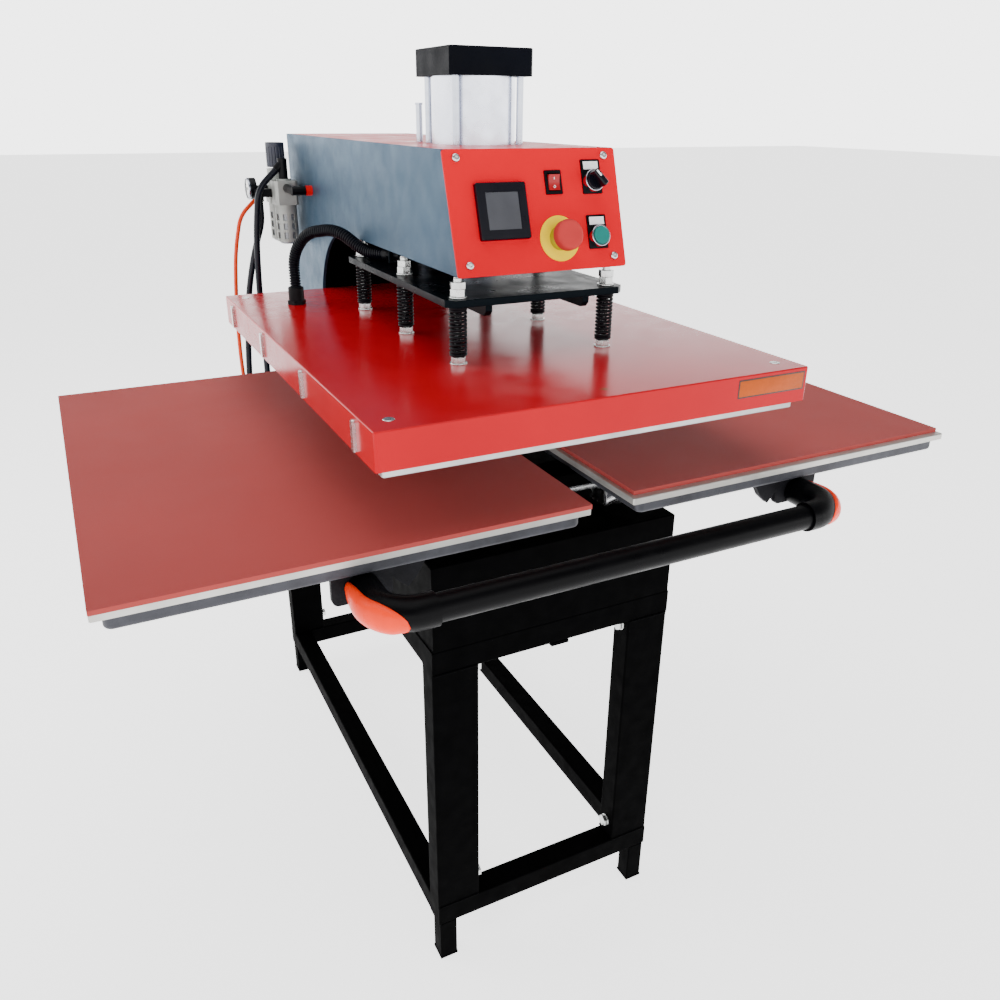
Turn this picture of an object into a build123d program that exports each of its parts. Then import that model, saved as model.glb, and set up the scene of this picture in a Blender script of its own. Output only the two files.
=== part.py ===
from build123d import *
from math import atan2, cos, degrees, hypot, pi, radians, sin, tan
import os

# Twin-station pneumatic heat press, in millimetres.
# Machine frame: x to the right from the head's centre line, y backwards from the platen's centre, z up from the
# floor. At the end everything is moved once, so that the origin is the bottom centre of the whole press.

# ---------------------------------------------------------------- driving dimensions
PLATE_WIDTH = 600            # heated area and both lower tables, left to right
PLATE_DEPTH = 800            # heated area and both lower tables, front to back
TABLE_PITCH = 666            # centre of the left table to centre of the right table
SHUTTLE_REST = 13            # how far right of the head the shuttle stands at rest

STAND_HALF = 206             # half of the stand's width
STAND_FRONT = -294
STAND_REAR = 664
FOOT_HEIGHT = 80
FOOT_SIZE = 30
RING_TUBE = 40
LEG_WIDTH = 74
LEG_TOP = 581
RING_TOP = LEG_TOP + RING_TUBE
BASE_HALF = 204
BASE_REAR = 400
DECK_TOP = 757
DECK_THICK = 8

CARRIAGE_X = 150             # carriages stand this far left and right of the head's centre line
RAIL_Y = 200                 # the two rails run this far in front of and behind the centre
RAIL_WIDTH = 20
RAIL_HALF = 600              # half of the rails' length
BEAM_HALF = 604              # half of the cross beams' length
RAIL_CLEARANCE = 0.6         # between a rail and its carriages
CARRIAGE_HALF_X = 30
CARRIAGE_HALF_Y = 23
RAIL_BOTTOM = 786
BEAM_BOTTOM = 804
BLOCK_BOTTOM = 828
PLATE_BOTTOM = 846
PAD_BOTTOM = 855
PAD_TOP = 861

HANDLE_Y = -465
HANDLE_Z = 806
HANDLE_R = 17.5
HANDLE_BEND = 45
HANDLE_ARM = 340             # from the shuttle's centre to the handle's side tubes
SLEEVE_R = 21
SLEEVE_LEAD = 14             # the moulded sleeve runs this far past the bend on the bar's side
SLEEVE_TAIL = 35             # and this far on the side tube's side
CAP_START = 20               # degrees from the bar's end of the bend to the orange cap's end
CAP_TAIL = 35                # the cap runs this far along the side tube
CAP_THICK = 5
CAP_DROOP = 35               # degrees by which the cap is turned down from the bend's outside
BRACKET_Y = -380

HEAD_HALF = 128              # half of the head's width over the side plates
SHEET_SIDE = 6
COLUMN_FRONT = 424
COLUMN_REAR = 600
HEAD_TOP = 1279
ARM_BOTTOM = 1128
ARM_CORNER_R = 170
PANEL_TOP_Y = -178
PANEL_TILT = 18
PANEL_LENGTH = 159
PANEL_THICK = 2

CAP_SIZE = 128
CAP_TUBE_Y = CAP_SIZE / 2 + 16   # where the cap's air tube stands
CAP_BOTTOM = 1368
CAP_TOP = 1404
BARREL_R = 61
BORE_R = 56
PISTON_BOTTOM = 1339
MOUNT_BOTTOM = 1180
MOUNT_TOP = 1200
LOWER_HEAD_TOP = 1236
TIE_ROD_XY = 50
ROD_R = 12.5
GUIDE_X = 45
GUIDE_Y = 100
GUIDE_R = 5
GUIDE_TOP = 1331
CAP_PORT_Z = 1386            # height of the air port in the cap

PRESS_HALF_X = 138
PRESS_HALF_Y = 216
PRESS_BOTTOM = 1087
PRESS_TOP = 1097
STUD_X = 116
STUD_Y = 197
STUD_R = 6
STUD_TOP = 1125
SPRING_R = 12.8
SPRING_WIRE = 4
NUT_HEIGHT = 10
NUT_FLATS = 19

HEAT_BOTTOM = 948
HEAT_TOP = 970
COVER_HALF_X = 313
COVER_HALF_Y = 413
COVER_BOTTOM = 960
COVER_TOP = 1008
COVER_SHEET = 2
BACKING_BOTTOM = 986
BACKING_TOP = 994
STRAP_HALF = 4.5
STRAP_THICK = 4
COVER_SCREW_X = 283
COVER_SCREW_Y = 378

CONDUIT_R = 10
GLAND_X = -212
GLAND_Y = 288
GLAND_TOP = 1038
ARM_GLAND_X = -95
ARM_GLAND_Y = 102
ARM_GLAND_Z = 1111
ARM_GLAND_LENGTH = 15
ARM_GLAND_TURN = degrees(atan2(ARM_GLAND_X - GLAND_X, GLAND_Y - ARM_GLAND_Y))   # it faces the platen's gland

AIR_X = -158                 # centre line of the air unit, beside the left side plate
AIR_FRONT_Y = 532
AIR_REAR_Y = 582
AIR_BODY_BOTTOM = 1153
AIR_BODY_TOP = 1197
SIDE_PORT_Y = 445             # where the elbow of the air unit enters the side plate
SIDE_PORT_Z = 1184
MANIFOLD_TOP = 625
FITTING_TOP = 650

# controls on the panel: x from the centre, and distance down the panel from its top edge
CONTROLLER_AT = (-54.5, 79)
ROCKER_AT = (27, 44)
SELECTOR_AT = (87, 44.5)
STOP_AT = (27, 117)
START_AT = (87, 117.5)
PANEL_SCREWS = [(-110, 10.5), (110, 10.5), (-110, 144.5), (110, 144.5)]

# travel of the moving bodies
SHUTTLE_RIGHT = TABLE_PITCH / 2 - SHUTTLE_REST
SHUTTLE_LEFT = TABLE_PITCH / 2 + SHUTTLE_REST
START_TRAVEL = 3.5
GAP = 0.3                    # clearance between bodies that move past each other

NODES = {}


# ---------------------------------------------------------------- helpers
def block(x0, x1, y0, y1, z0, z1):
    """Box from its limits."""
    size = Box(abs(x1 - x0), abs(y1 - y0), abs(z1 - z0))
    return Pos((x0 + x1) / 2, (y0 + y1) / 2, (z0 + z1) / 2) * size


def post(x, y, z0, z1, radius):
    """Upright cylinder."""
    return Pos(x, y, (z0 + z1) / 2) * Cylinder(radius, z1 - z0)


def pipe(x, y, z0, z1, outer, inner):
    """Upright tube."""
    return post(x, y, z0, z1, outer) - post(x, y, z0 - 1, z1 + 1, inner)


def hexagon(x, y, z0, z1, flats):
    """Upright hexagonal prism, its size across the flats."""
    return Pos(x, y, z0) * extrude(RegularPolygon(flats / 2, 6, major_radius=False), z1 - z0)


def square_tube(x0, x1, y0, y1, z0, z1, axis, wall=3, radius=3):
    """Hollow rectangular tube, open at both ends, running along the given axis."""
    outer = block(x0, x1, y0, y1, z0, z1)
    outer = fillet(outer.edges().filter_by(axis), radius)
    grow = {Axis.X: (1, -wall, -wall), Axis.Y: (-wall, 1, -wall), Axis.Z: (-wall, -wall, 1)}[axis]
    inner = block(x0 - grow[0], x1 + grow[0], y0 - grow[1], y1 + grow[1], z0 - grow[2], z1 + grow[2])
    return outer - inner


def solids(*shapes):
    """Every separate solid of the given shapes."""
    found = []
    for shape in shapes:
        found.extend(shape.solids())
    return found


def add(name, *shapes):
    """Store a sub-part as a group of its solids."""
    NODES[name] = Compound(label=name, children=solids(*shapes))


def corner_radii(points):
    """Radius of the arc at each inner point: 0.45 of the shorter run over the tangent of half the turn."""
    radii = []
    for before, here, after in zip(points, points[1:], points[2:]):
        run_in = Vector(*here) - Vector(*before)
        run_out = Vector(*after) - Vector(*here)
        turn = run_in.get_angle(run_out)
        radii.append(0.45 * min(run_in.length, run_out.length) / tan(radians(turn / 2)))
    return radii


def hose(name, points, radius):
    """Round hose along straight runs that are joined by tangent arcs."""
    radii = corner_radii(points)
    path = FilletPolyline(*points, radius=radii)
    start = Plane(origin=path @ 0, z_dir=path % 0)
    tube = sweep(start * Circle(radius), path=path)
    smallest = min(radii)
    fill = tube.volume / (pi * radius ** 2 * path.length)
    print(f"{name}: length {path.length:.0f}, smallest radius {smallest:.0f}, volume ratio {fill:.4f}")
    return tube


# ---------------------------------------------------------------- stand
def end_plug(end_x, side, y, z):
    """Plug that closes the open end of a ring's front or rear tube."""
    return block(end_x - side * 3, end_x, y + 3, y + RING_TUBE - 3, z + 3, z + RING_TUBE - 3)


def lower_ring():
    """Tubes and end plugs of the ring above the feet."""
    z0, z1 = FOOT_HEIGHT, FOOT_HEIGHT + RING_TUBE
    inner_front, inner_rear = STAND_FRONT + RING_TUBE, STAND_REAR - RING_TUBE
    front = square_tube(-STAND_HALF, STAND_HALF, STAND_FRONT, inner_front, z0, z1, Axis.X)
    rear = square_tube(-STAND_HALF, STAND_HALF, inner_rear, STAND_REAR, z0, z1, Axis.X)
    sides = []
    plugs = []
    for side in (-1, 1):
        near, far = side * (STAND_HALF - RING_TUBE), side * STAND_HALF
        sides.append(square_tube(min(near, far), max(near, far), inner_front, inner_rear, z0, z1, Axis.Y))
        for y in (STAND_FRONT, inner_rear):
            plugs.append(end_plug(far, side, y, z0))
    return [front, rear, *sides, *plugs]


def stand_feet():
    feet = []
    for side in (-1, 1):
        for y in (STAND_FRONT, STAND_REAR - FOOT_SIZE):
            outer = side * (STAND_HALF - 2)
            inner = outer - side * FOOT_SIZE
            x0, x1 = min(outer, inner), max(outer, inner)
            feet.append(square_tube(x0, x1, y, y + FOOT_SIZE, 5, FOOT_HEIGHT, Axis.Z, wall=2.5, radius=2))
            cap = block(x0 - 0.5, x1 + 0.5, y - 0.5, y + FOOT_SIZE + 0.5, 0, 5)
            feet.append(chamfer(cap.faces().sort_by(Axis.Z)[0].edges(), 1))
    add("stand_feet", *feet)


def leg_places():
    """Side (-1 left, 1 right) and front y of each of the four legs."""
    for side in (-1, 1):
        for y in (STAND_FRONT, STAND_REAR - RING_TUBE):
            yield side, y


def stand_legs():
    z0 = FOOT_HEIGHT + RING_TUBE
    legs = []
    for side, y in leg_places():
        outer, inner = side * STAND_HALF, side * (STAND_HALF - LEG_WIDTH)
        leg = square_tube(min(outer, inner), max(outer, inner), y, y + RING_TUBE, z0, LEG_TOP, Axis.Z)
        for z in (z0 + 32, LEG_TOP - 13):
            hole = Pos(inner, y + RING_TUBE / 2, z) * Rot(0, 90, 0) * Cylinder(5.2, 20)
            leg -= hole
        legs.append(leg)
    add("stand_legs", *legs)


def frame_bolts():
    """Hex bolts on the inner faces of the legs, and button-head screws in the front panel."""
    bolts = []
    for side, y in leg_places():
        inner = side * (STAND_HALF - LEG_WIDTH)
        for z in (FOOT_HEIGHT + RING_TUBE + 32, LEG_TOP - 13):
            bolt = post(0, 0, -26, 0, 5) + post(0, 0, 0, 2, 10.5) + hexagon(0, 0, 2, 9, 17)
            bolts.append(Pos(inner, y + RING_TUBE / 2, z) * Rot(0, -90 * side, 0) * bolt)
    add("frame_bolts", *bolts, *panel_screws())


def upper_ring():
    """Tubes of the ring that carries the base and the column, with the tab under its front."""
    inner_front, inner_rear = STAND_FRONT + RING_TUBE, STAND_REAR - RING_TUBE
    tubes = []
    for y in (STAND_FRONT, inner_rear):
        tubes.append(square_tube(-STAND_HALF, STAND_HALF, y, y + RING_TUBE, LEG_TOP, RING_TOP, Axis.X))
        for side in (-1, 1):
            tubes.append(end_plug(side * STAND_HALF, side, y, LEG_TOP))
    inner = STAND_HALF - RING_TUBE
    for x in (-STAND_HALF, inner):
        tubes.append(square_tube(x, x + RING_TUBE, inner_front, inner_rear, LEG_TOP, RING_TOP, Axis.Y))
    for y in (60, COLUMN_FRONT - RING_TUBE / 2):
        tubes.append(square_tube(-inner, inner, y, y + RING_TUBE, LEG_TOP, RING_TOP, Axis.X))
    tab = block(-9, 21, STAND_FRONT, STAND_FRONT + 8, LEG_TOP - 5, LEG_TOP)
    return [*tubes, tab]


def stand_rings():
    add("stand_rings", *lower_ring(), *upper_ring())


# ---------------------------------------------------------------- base and guides
def base_box():
    """Black walls round the base, as four panels, and the deck that carries the carriages."""
    wall = 3
    z0, z1 = RING_TOP, DECK_TOP - DECK_THICK
    front = block(-BASE_HALF, BASE_HALF, STAND_FRONT, STAND_FRONT + wall, z0, z1)
    rear = block(-BASE_HALF, BASE_HALF, BASE_REAR - wall, BASE_REAR, z0, z1)
    left = block(-BASE_HALF, -BASE_HALF + wall, STAND_FRONT + wall, BASE_REAR - wall, z0, z1)
    right = mirror(left, about=Plane.YZ)
    deck = block(-BASE_HALF, BASE_HALF, STAND_FRONT, BASE_REAR, z1, DECK_TOP)
    deck = chamfer(deck.faces().sort_by(Axis.Z)[-1].edges(), 1.5)
    add("base_box", front, rear, left, right, deck)


def carriages():
    """Four carriages; each is a body under the rail and a lip on each side of it."""
    seat = RAIL_BOTTOM - RAIL_CLEARANCE
    lip_half = CARRIAGE_HALF_X - 3
    pieces = []
    for x in (-CARRIAGE_X, CARRIAGE_X):
        for y in (-RAIL_Y, RAIL_Y):
            low_y, high_y = y - CARRIAGE_HALF_Y, y + CARRIAGE_HALF_Y
            body = block(x - CARRIAGE_HALF_X, x + CARRIAGE_HALF_X, low_y, high_y, DECK_TOP, seat)
            pieces.append(chamfer(body.edges().filter_by(Axis.Z), 3))
            for side in (-1, 1):
                near = y + side * (RAIL_WIDTH / 2 + RAIL_CLEARANCE)
                far = y + side * CARRIAGE_HALF_Y
                pieces.append(block(x - lip_half, x + lip_half, near, far, seat, seat + 14))
    add("carriages", *pieces)


def shuttle_x(offset):
    """A place on the shuttle, from its centre, with the shuttle at rest."""
    return SHUTTLE_REST + offset


def guide_rails():
    rails = []
    for y in (-RAIL_Y, RAIL_Y):
        near, far = y - RAIL_WIDTH / 2, y + RAIL_WIDTH / 2
        rail = block(shuttle_x(-RAIL_HALF), shuttle_x(RAIL_HALF), near, far, RAIL_BOTTOM, BEAM_BOTTOM)
        for edge in (near, far - 3):
            rail -= block(-1000, 1000, edge, edge + 3, RAIL_BOTTOM + 7, RAIL_BOTTOM + 11)
        rails.append(rail)
    add("guide_rails", *rails)


def cross_beams():
    beams = []
    for y in (-RAIL_Y, RAIL_Y):
        left, right = shuttle_x(-BEAM_HALF), shuttle_x(BEAM_HALF)
        beams.append(square_tube(left, right, y - 30, y + 30, BEAM_BOTTOM, BLOCK_BOTTOM, Axis.X))
    add("cross_beams", *beams)


def stop_bumpers():
    """Rubber buffers under the beams that meet the carriages at the two ends of the travel."""
    outer_face = CARRIAGE_X + CARRIAGE_HALF_X - 3
    left_end = -(outer_face + SHUTTLE_RIGHT + 0.5)
    right_end = outer_face + SHUTTLE_LEFT + 0.5
    buffers = []
    for y in (-RAIL_Y, RAIL_Y):
        for side in (-1, 1):
            near, far = sorted((y + side * 11, y + side * 27))
            for x0, x1 in ((left_end - 22, left_end), (right_end, right_end + 22)):
                buffers.append(block(x0, x1, near, far, RAIL_BOTTOM + 2, BEAM_BOTTOM))
    add("stop_bumpers", *buffers)


# ---------------------------------------------------------------- lower tables
def table_blocks():
    """Cast blocks with round lower edges and pockets underneath, clear of the beams."""
    half_x, half_y = PLATE_WIDTH / 2 - 12, PLATE_DEPTH / 2 - 6
    blocks = []
    for side in (-1, 1):
        centre = shuttle_x(side * TABLE_PITCH / 2)
        body = block(centre - half_x, centre + half_x, -half_y, half_y, BLOCK_BOTTOM, PLATE_BOTTOM)
        body = fillet(body.edges().filter_by(Axis.Z), 10)
        body = fillet(body.faces().sort_by(Axis.Z)[0].edges(), 5)
        for x0, x1 in ((-half_x + 24, -12), (12, half_x - 24)):
            for y0, y1 in ((-340, -RAIL_Y - 42), (-RAIL_Y + 42, RAIL_Y - 42), (RAIL_Y + 42, 340)):
                pocket = block(centre + x0, centre + x1, y0, y1, BLOCK_BOTTOM - 1, BLOCK_BOTTOM + 9)
                body -= fillet(pocket.edges().filter_by(Axis.Z), 12)
        blocks.append(body)
    add("table_blocks", *blocks)


def table_plates():
    plates = []
    for side in (-1, 1):
        centre = shuttle_x(side * TABLE_PITCH / 2)
        plate = block(
            centre - PLATE_WIDTH / 2, centre + PLATE_WIDTH / 2,
            -PLATE_DEPTH / 2, PLATE_DEPTH / 2, PLATE_BOTTOM, PAD_BOTTOM,
        )
        plate = fillet(plate.edges().filter_by(Axis.Z), 3)
        plates.append(chamfer(plate.faces().sort_by(Axis.Z)[-1].edges(), 0.8))
    add("table_plates", *plates)


def pads():
    """Silicone pads; the right one is a little smaller and lies back from the plate's front edge."""
    pieces = []
    layout = ((-1, 0, -2, PLATE_WIDTH, PLATE_DEPTH), (1, 2, 4, PLATE_WIDTH - 10, PLATE_DEPTH - 14))
    for side, dx, dy, width, depth in layout:
        centre = shuttle_x(side * TABLE_PITCH / 2) + dx
        pad = block(centre - width / 2, centre + width / 2, dy - depth / 2, dy + depth / 2, PAD_BOTTOM, PAD_TOP)
        pieces.append(fillet(pad.edges().filter_by(Axis.Z), 2))
    add("pads", *pieces)


# ---------------------------------------------------------------- handle
def handle_bar():
    """One bent tube: the front bar, two bends and two side tubes that run back to the front beam."""
    arm = HANDLE_ARM
    back = -RAIL_Y - 30
    corners = [
        (shuttle_x(-arm), back, HANDLE_Z), (shuttle_x(-arm), HANDLE_Y, HANDLE_Z),
        (shuttle_x(arm), HANDLE_Y, HANDLE_Z), (shuttle_x(arm), back, HANDLE_Z),
    ]
    path = FilletPolyline(*corners, radius=HANDLE_BEND)
    start = Plane(origin=path @ 0, z_dir=path % 0)
    ring = Circle(HANDLE_R) - Circle(HANDLE_R - 2.5)
    add("handle_bar", sweep(start * ring, path=path))


def bend_centre(side):
    return shuttle_x(side * (HANDLE_ARM - HANDLE_BEND)), HANDLE_Y + HANDLE_BEND


def elbow_profile(side, radius):
    """Solid bend of the handle with a straight at both ends."""
    x, y = bend_centre(side)
    bar_end = (x - side * SLEEVE_LEAD, HANDLE_Y, HANDLE_Z)
    corner = (shuttle_x(side * HANDLE_ARM), HANDLE_Y, HANDLE_Z)
    arm_end = (shuttle_x(side * HANDLE_ARM), y + SLEEVE_TAIL, HANDLE_Z)
    path = FilletPolyline(bar_end, corner, arm_end, radius=HANDLE_BEND)
    start = Plane(origin=path @ 0, z_dir=path % 0)
    return sweep(start * Circle(radius), path=path)


def handle_elbows():
    """Thick moulded sleeves over the two bends."""
    elbows = [elbow_profile(side, SLEEVE_R) - elbow_profile(side, HANDLE_R + 0.1) for side in (-1, 1)]
    add("handle_elbows", *elbows)


def handle_caps():
    """Crescent-section covers on the outside of the bends, turned downwards."""
    inner = SLEEVE_R + 0.1
    outer = Pos(CAP_THICK + 2, 0) * Circle(inner - 2)
    section = Plane.XZ * Pos(HANDLE_BEND, 0) * Rot(0, 0, -CAP_DROOP) * (outer - Circle(inner))
    bend = revolve(section, axis=Axis((0, 0, 0), (0, 0, -1)), revolution_arc=90 - CAP_START)
    cap = bend + extrude(section, -CAP_TAIL)
    x, y = bend_centre(1)
    right = Pos(x, y, HANDLE_Z) * cap
    add("handle_caps", right, mirror(right, about=Plane.YZ.offset(SHUTTLE_REST)))


def handle_brackets():
    """Grey brackets that hang from the tables and carry the side tubes, and a cast gusset beside each."""
    pieces = []
    for side in (-1, 1):
        x = shuttle_x(side * HANDLE_ARM)
        plate = block(x - 38, x + 38, BRACKET_Y - 4, BRACKET_Y + 4, HANDLE_Z - 18, BLOCK_BOTTOM)
        lower = plate.edges().filter_by(Axis.Y).sort_by(Axis.Z)[:2]
        plate = fillet(lower, 9)
        plate -= Pos(x, BRACKET_Y, HANDLE_Z) * Rot(90, 0, 0) * Cylinder(HANDLE_R + 0.1, 20)
        pieces.append(plate)
        inner = shuttle_x(side * 285)
        outline = Polyline(
            (inner - 26, BLOCK_BOTTOM), (inner + 26, BLOCK_BOTTOM), (inner + 18, 812),
            (inner + 2, 794), (inner - 14, 808), close=True,
        )
        pieces.append(extrude(Plane.XZ.offset(-BRACKET_Y) * Face(Wire(outline.edges())), 5, both=True))
    add("handle_brackets", *pieces)


# ---------------------------------------------------------------- head
def panel_plane():
    """Outer face of the front panel: origin at its top centre, y up along the panel, z out of it."""
    tilt = radians(PANEL_TILT)
    return Plane(origin=(0, PANEL_TOP_Y, HEAD_TOP), x_dir=(1, 0, 0), z_dir=(0, -cos(tilt), sin(tilt)))


def on_panel(x, down, out=0):
    return panel_plane().location * Pos(x, -down, out)


def side_plates():
    tilt = radians(PANEL_TILT)
    back = PANEL_THICK / cos(tilt) + 0.2
    front_top = PANEL_TOP_Y + back
    front_bottom = front_top - (HEAD_TOP - ARM_BOTTOM) * tan(tilt)
    start_arc = COLUMN_FRONT - ARM_CORNER_R
    end_arc = ARM_BOTTOM - ARM_CORNER_R
    outline = Polyline(
        (COLUMN_FRONT, end_arc), (COLUMN_FRONT, RING_TOP), (COLUMN_REAR, RING_TOP),
        (COLUMN_REAR, HEAD_TOP), (front_top, HEAD_TOP), (front_bottom, ARM_BOTTOM), (start_arc, ARM_BOTTOM),
    )
    corner = RadiusArc((start_arc, ARM_BOTTOM), (COLUMN_FRONT, end_arc), ARM_CORNER_R)
    profile = make_face([*outline.edges(), *corner.edges()])
    plates = []
    for x in (-HEAD_HALF, HEAD_HALF - SHEET_SIDE):
        plates.append(extrude(Plane.YZ.offset(x) * profile, SHEET_SIDE))
    add("side_plates", *plates)


def inner_half():
    return HEAD_HALF - SHEET_SIDE


def column_covers():
    """Rear sheet with louvre slots, and a front sheet that curves forward under the arm."""
    half = inner_half()
    rear = block(-half, half, COLUMN_REAR - 3, COLUMN_REAR, RING_TOP, HEAD_TOP - 3)
    for step in range(6):
        slot = block(-60, 60, COLUMN_REAR - 5, COLUMN_REAR + 2, 0, 6)
        rear -= Pos(0, 0, 1080 + 18 * step) * slot
    end_arc = ARM_BOTTOM - ARM_CORNER_R
    front = block(-half, half, COLUMN_FRONT, COLUMN_FRONT + 3, RING_TOP, end_arc)
    centre_y = COLUMN_FRONT - ARM_CORNER_R
    turn = Pos(0, centre_y, end_arc) * Rot(0, 90, 0)
    curve = turn * (Cylinder(ARM_CORNER_R + 3, 2 * half) - Cylinder(ARM_CORNER_R, 2 * half + 2))
    curve &= block(-half, half, centre_y, COLUMN_FRONT + 9, end_arc, ARM_BOTTOM + 9)
    under = block(-half, half, 165, centre_y, ARM_BOTTOM, ARM_BOTTOM + 3)
    add("column_covers", rear, front + curve + under)


def top_cover():
    half = inner_half()
    sheet = block(-half, half, PANEL_TOP_Y + 4, COLUMN_REAR - 3, HEAD_TOP - 3, HEAD_TOP)
    sheet -= post(0, 0, HEAD_TOP - 5, HEAD_TOP + 5, BARREL_R + 2)
    for x in (-1, 1):
        sheet -= post(x * GUIDE_X, GUIDE_Y, HEAD_TOP - 5, HEAD_TOP + 5, GUIDE_R + 2.5)
        for y in (-1, 1):
            sheet -= post(x * TIE_ROD_XY, y * TIE_ROD_XY, HEAD_TOP - 5, HEAD_TOP + 5, 7)
    sheet -= post(0, CAP_TUBE_Y, HEAD_TOP - 5, HEAD_TOP + 5, 4.2)
    add("top_cover", sheet)


def front_panel():
    sheet = extrude(RectangleRounded(2 * HEAD_HALF + 1, PANEL_LENGTH, 4), PANEL_THICK)
    sheet = panel_plane().location * Pos(0, -PANEL_LENGTH / 2, -PANEL_THICK) * sheet
    sheet -= on_panel(*CONTROLLER_AT) * Box(67, 67, 20)
    sheet -= on_panel(*ROCKER_AT) * Box(22, 28, 20)
    for place in (SELECTOR_AT, STOP_AT, START_AT):
        sheet -= on_panel(*place) * Cylinder(11.2, 20)
    for place in PANEL_SCREWS:
        sheet -= on_panel(*place) * Cylinder(3.2, 20)
    add("front_panel", sheet)


def panel_screws():
    """Button-head screws with hexagon sockets."""
    screws = []
    for place in PANEL_SCREWS:
        head = Cylinder(5.5, 3.4, align=(Align.CENTER, Align.CENTER, Align.MIN))
        head = fillet(head.faces().sort_by(Axis.Z)[-1].edges(), 2.6)
        head -= Pos(0, 0, 1.4) * extrude(RegularPolygon(2, 6, major_radius=False), 3)
        shank = Pos(0, 0, -8) * Cylinder(3, 8, align=(Align.CENTER, Align.CENTER, Align.MIN))
        screws.append(on_panel(*place) * (head + shank))
    return screws


# ---------------------------------------------------------------- cylinder
def mount_plate():
    """Thick plate inside the arm that carries the cylinder, the guide bushes and the conduit bracket."""
    half = inner_half()
    plate = block(-half, half, -130, 150, MOUNT_BOTTOM, MOUNT_TOP)
    plate -= post(0, 0, MOUNT_BOTTOM - 1, MOUNT_TOP + 1, ROD_R + 3)
    for x in (-GUIDE_X, GUIDE_X):
        plate -= post(x, GUIDE_Y, MOUNT_BOTTOM - 1, MOUNT_TOP + 1, 10)
    bracket = block(-14, 14, -3, 0, -12, MOUNT_BOTTOM - ARM_GLAND_Z)
    bracket -= Rot(90, 0, 0) * Cylinder(8, 20)
    bracket = Pos(ARM_GLAND_X, ARM_GLAND_Y, ARM_GLAND_Z) * Rot(0, 0, ARM_GLAND_TURN) * bracket
    add("mount_plate", plate, bracket, *guide_bushes())


def guide_bushes():
    """Flanged bushes in which the guide rods slide."""
    bushes = []
    for x in (-GUIDE_X, GUIDE_X):
        sleeve = pipe(x, GUIDE_Y, MOUNT_BOTTOM - 6, MOUNT_TOP, 10, GUIDE_R + 0.05)
        flange = pipe(x, GUIDE_Y, MOUNT_BOTTOM - 6, MOUNT_BOTTOM, 14, GUIDE_R + 0.05)
        bushes.append(sleeve + flange)
    return bushes


def cylinder_heads():
    """Square top cap with a rear air port, and the lower head on the mounting plate."""
    half = CAP_SIZE / 2
    cap = block(-half, half, -half, half, CAP_BOTTOM, CAP_TOP)
    cap = chamfer(cap.edges().filter_by(Axis.Z), 4)
    cap = chamfer(cap.faces().sort_by(Axis.Z)[-1].edges(), 1.2)
    cap -= Pos(0, half, CAP_PORT_Z) * Rot(90, 0, 0) * Cylinder(5, 24)
    for x in (-1, 1):
        for y in (-1, 1):
            cap -= post(x * TIE_ROD_XY, y * TIE_ROD_XY, CAP_TOP - 9, CAP_TOP + 1, 8)
    lower = block(-half, half, -half, half, MOUNT_TOP, LOWER_HEAD_TOP)
    lower = chamfer(lower.edges().filter_by(Axis.Z), 4)
    lower -= post(0, 0, MOUNT_TOP - 1, LOWER_HEAD_TOP + 1, ROD_R + GAP)
    add("cylinder_heads", cap, lower)


def cylinder_barrel():
    add("cylinder_barrel", pipe(0, 0, LOWER_HEAD_TOP, CAP_BOTTOM, BARREL_R, BORE_R))


def tie_rods():
    """Four tie rods between the heads, and their socket screws in the cap's counterbores."""
    pieces = []
    for x in (-TIE_ROD_XY, TIE_ROD_XY):
        for y in (-TIE_ROD_XY, TIE_ROD_XY):
            pieces.append(post(x, y, LOWER_HEAD_TOP, CAP_BOTTOM, 5))
            pieces.append(pipe(x, y, CAP_TOP - 9, CAP_TOP - 1.5, 7, 3))
    add("tie_rods", *pieces)


def piston():
    """Piston and rod, with the rod's flange on the press plate."""
    head = post(0, 0, PISTON_BOTTOM, CAP_BOTTOM - 3, BORE_R - GAP)
    for groove in (PISTON_BOTTOM + 6, PISTON_BOTTOM + 17):
        head -= pipe(0, 0, groove, groove + 3, BORE_R + 2, BORE_R - 2.5)
    rod = post(0, 0, PRESS_TOP, PISTON_BOTTOM, ROD_R)
    flange = post(0, 0, PRESS_TOP, PRESS_TOP + 14, 30)
    flange = chamfer(flange.faces().sort_by(Axis.Z)[-1].edges(), 2)
    add("piston", head + rod + flange)


def guide_rods():
    rods = []
    for x in (-GUIDE_X, GUIDE_X):
        rod = post(x, GUIDE_Y, PRESS_TOP, GUIDE_TOP, GUIDE_R)
        foot = hexagon(x, GUIDE_Y, PRESS_TOP, PRESS_TOP + 8, 19)
        top = post(x, GUIDE_Y, GUIDE_TOP, GUIDE_TOP + 3, GUIDE_R + 1)
        rods.append(rod + foot + top)
    add("guide_rods", *rods)


# ---------------------------------------------------------------- press plate and springs
def stud_places():
    for x in (-STUD_X, STUD_X):
        for y in (-STUD_Y, 0, STUD_Y):
            yield x, y


def press_plate():
    plate = block(-PRESS_HALF_X, PRESS_HALF_X, -PRESS_HALF_Y, PRESS_HALF_Y, PRESS_BOTTOM, PRESS_TOP)
    plate = chamfer(plate.edges().filter_by(Axis.Z), 12)
    for x, y in stud_places():
        plate -= post(x, y, PRESS_BOTTOM - 1, PRESS_TOP + 1, STUD_R + 0.7)
    for x in (-76, 76):
        rib = block(x - 5, x + 5, -PRESS_HALF_Y + 6, PRESS_HALF_Y - 6, PRESS_BOTTOM - 16, PRESS_BOTTOM)
        ends = rib.edges().filter_by(Axis.X).sort_by(Axis.Z)[:2]
        plate += chamfer(ends, 7)
    add("press_plate", plate)


def spring_studs():
    add("spring_studs", *[post(x, y, BACKING_TOP, STUD_TOP, STUD_R) for x, y in stud_places()])


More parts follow.
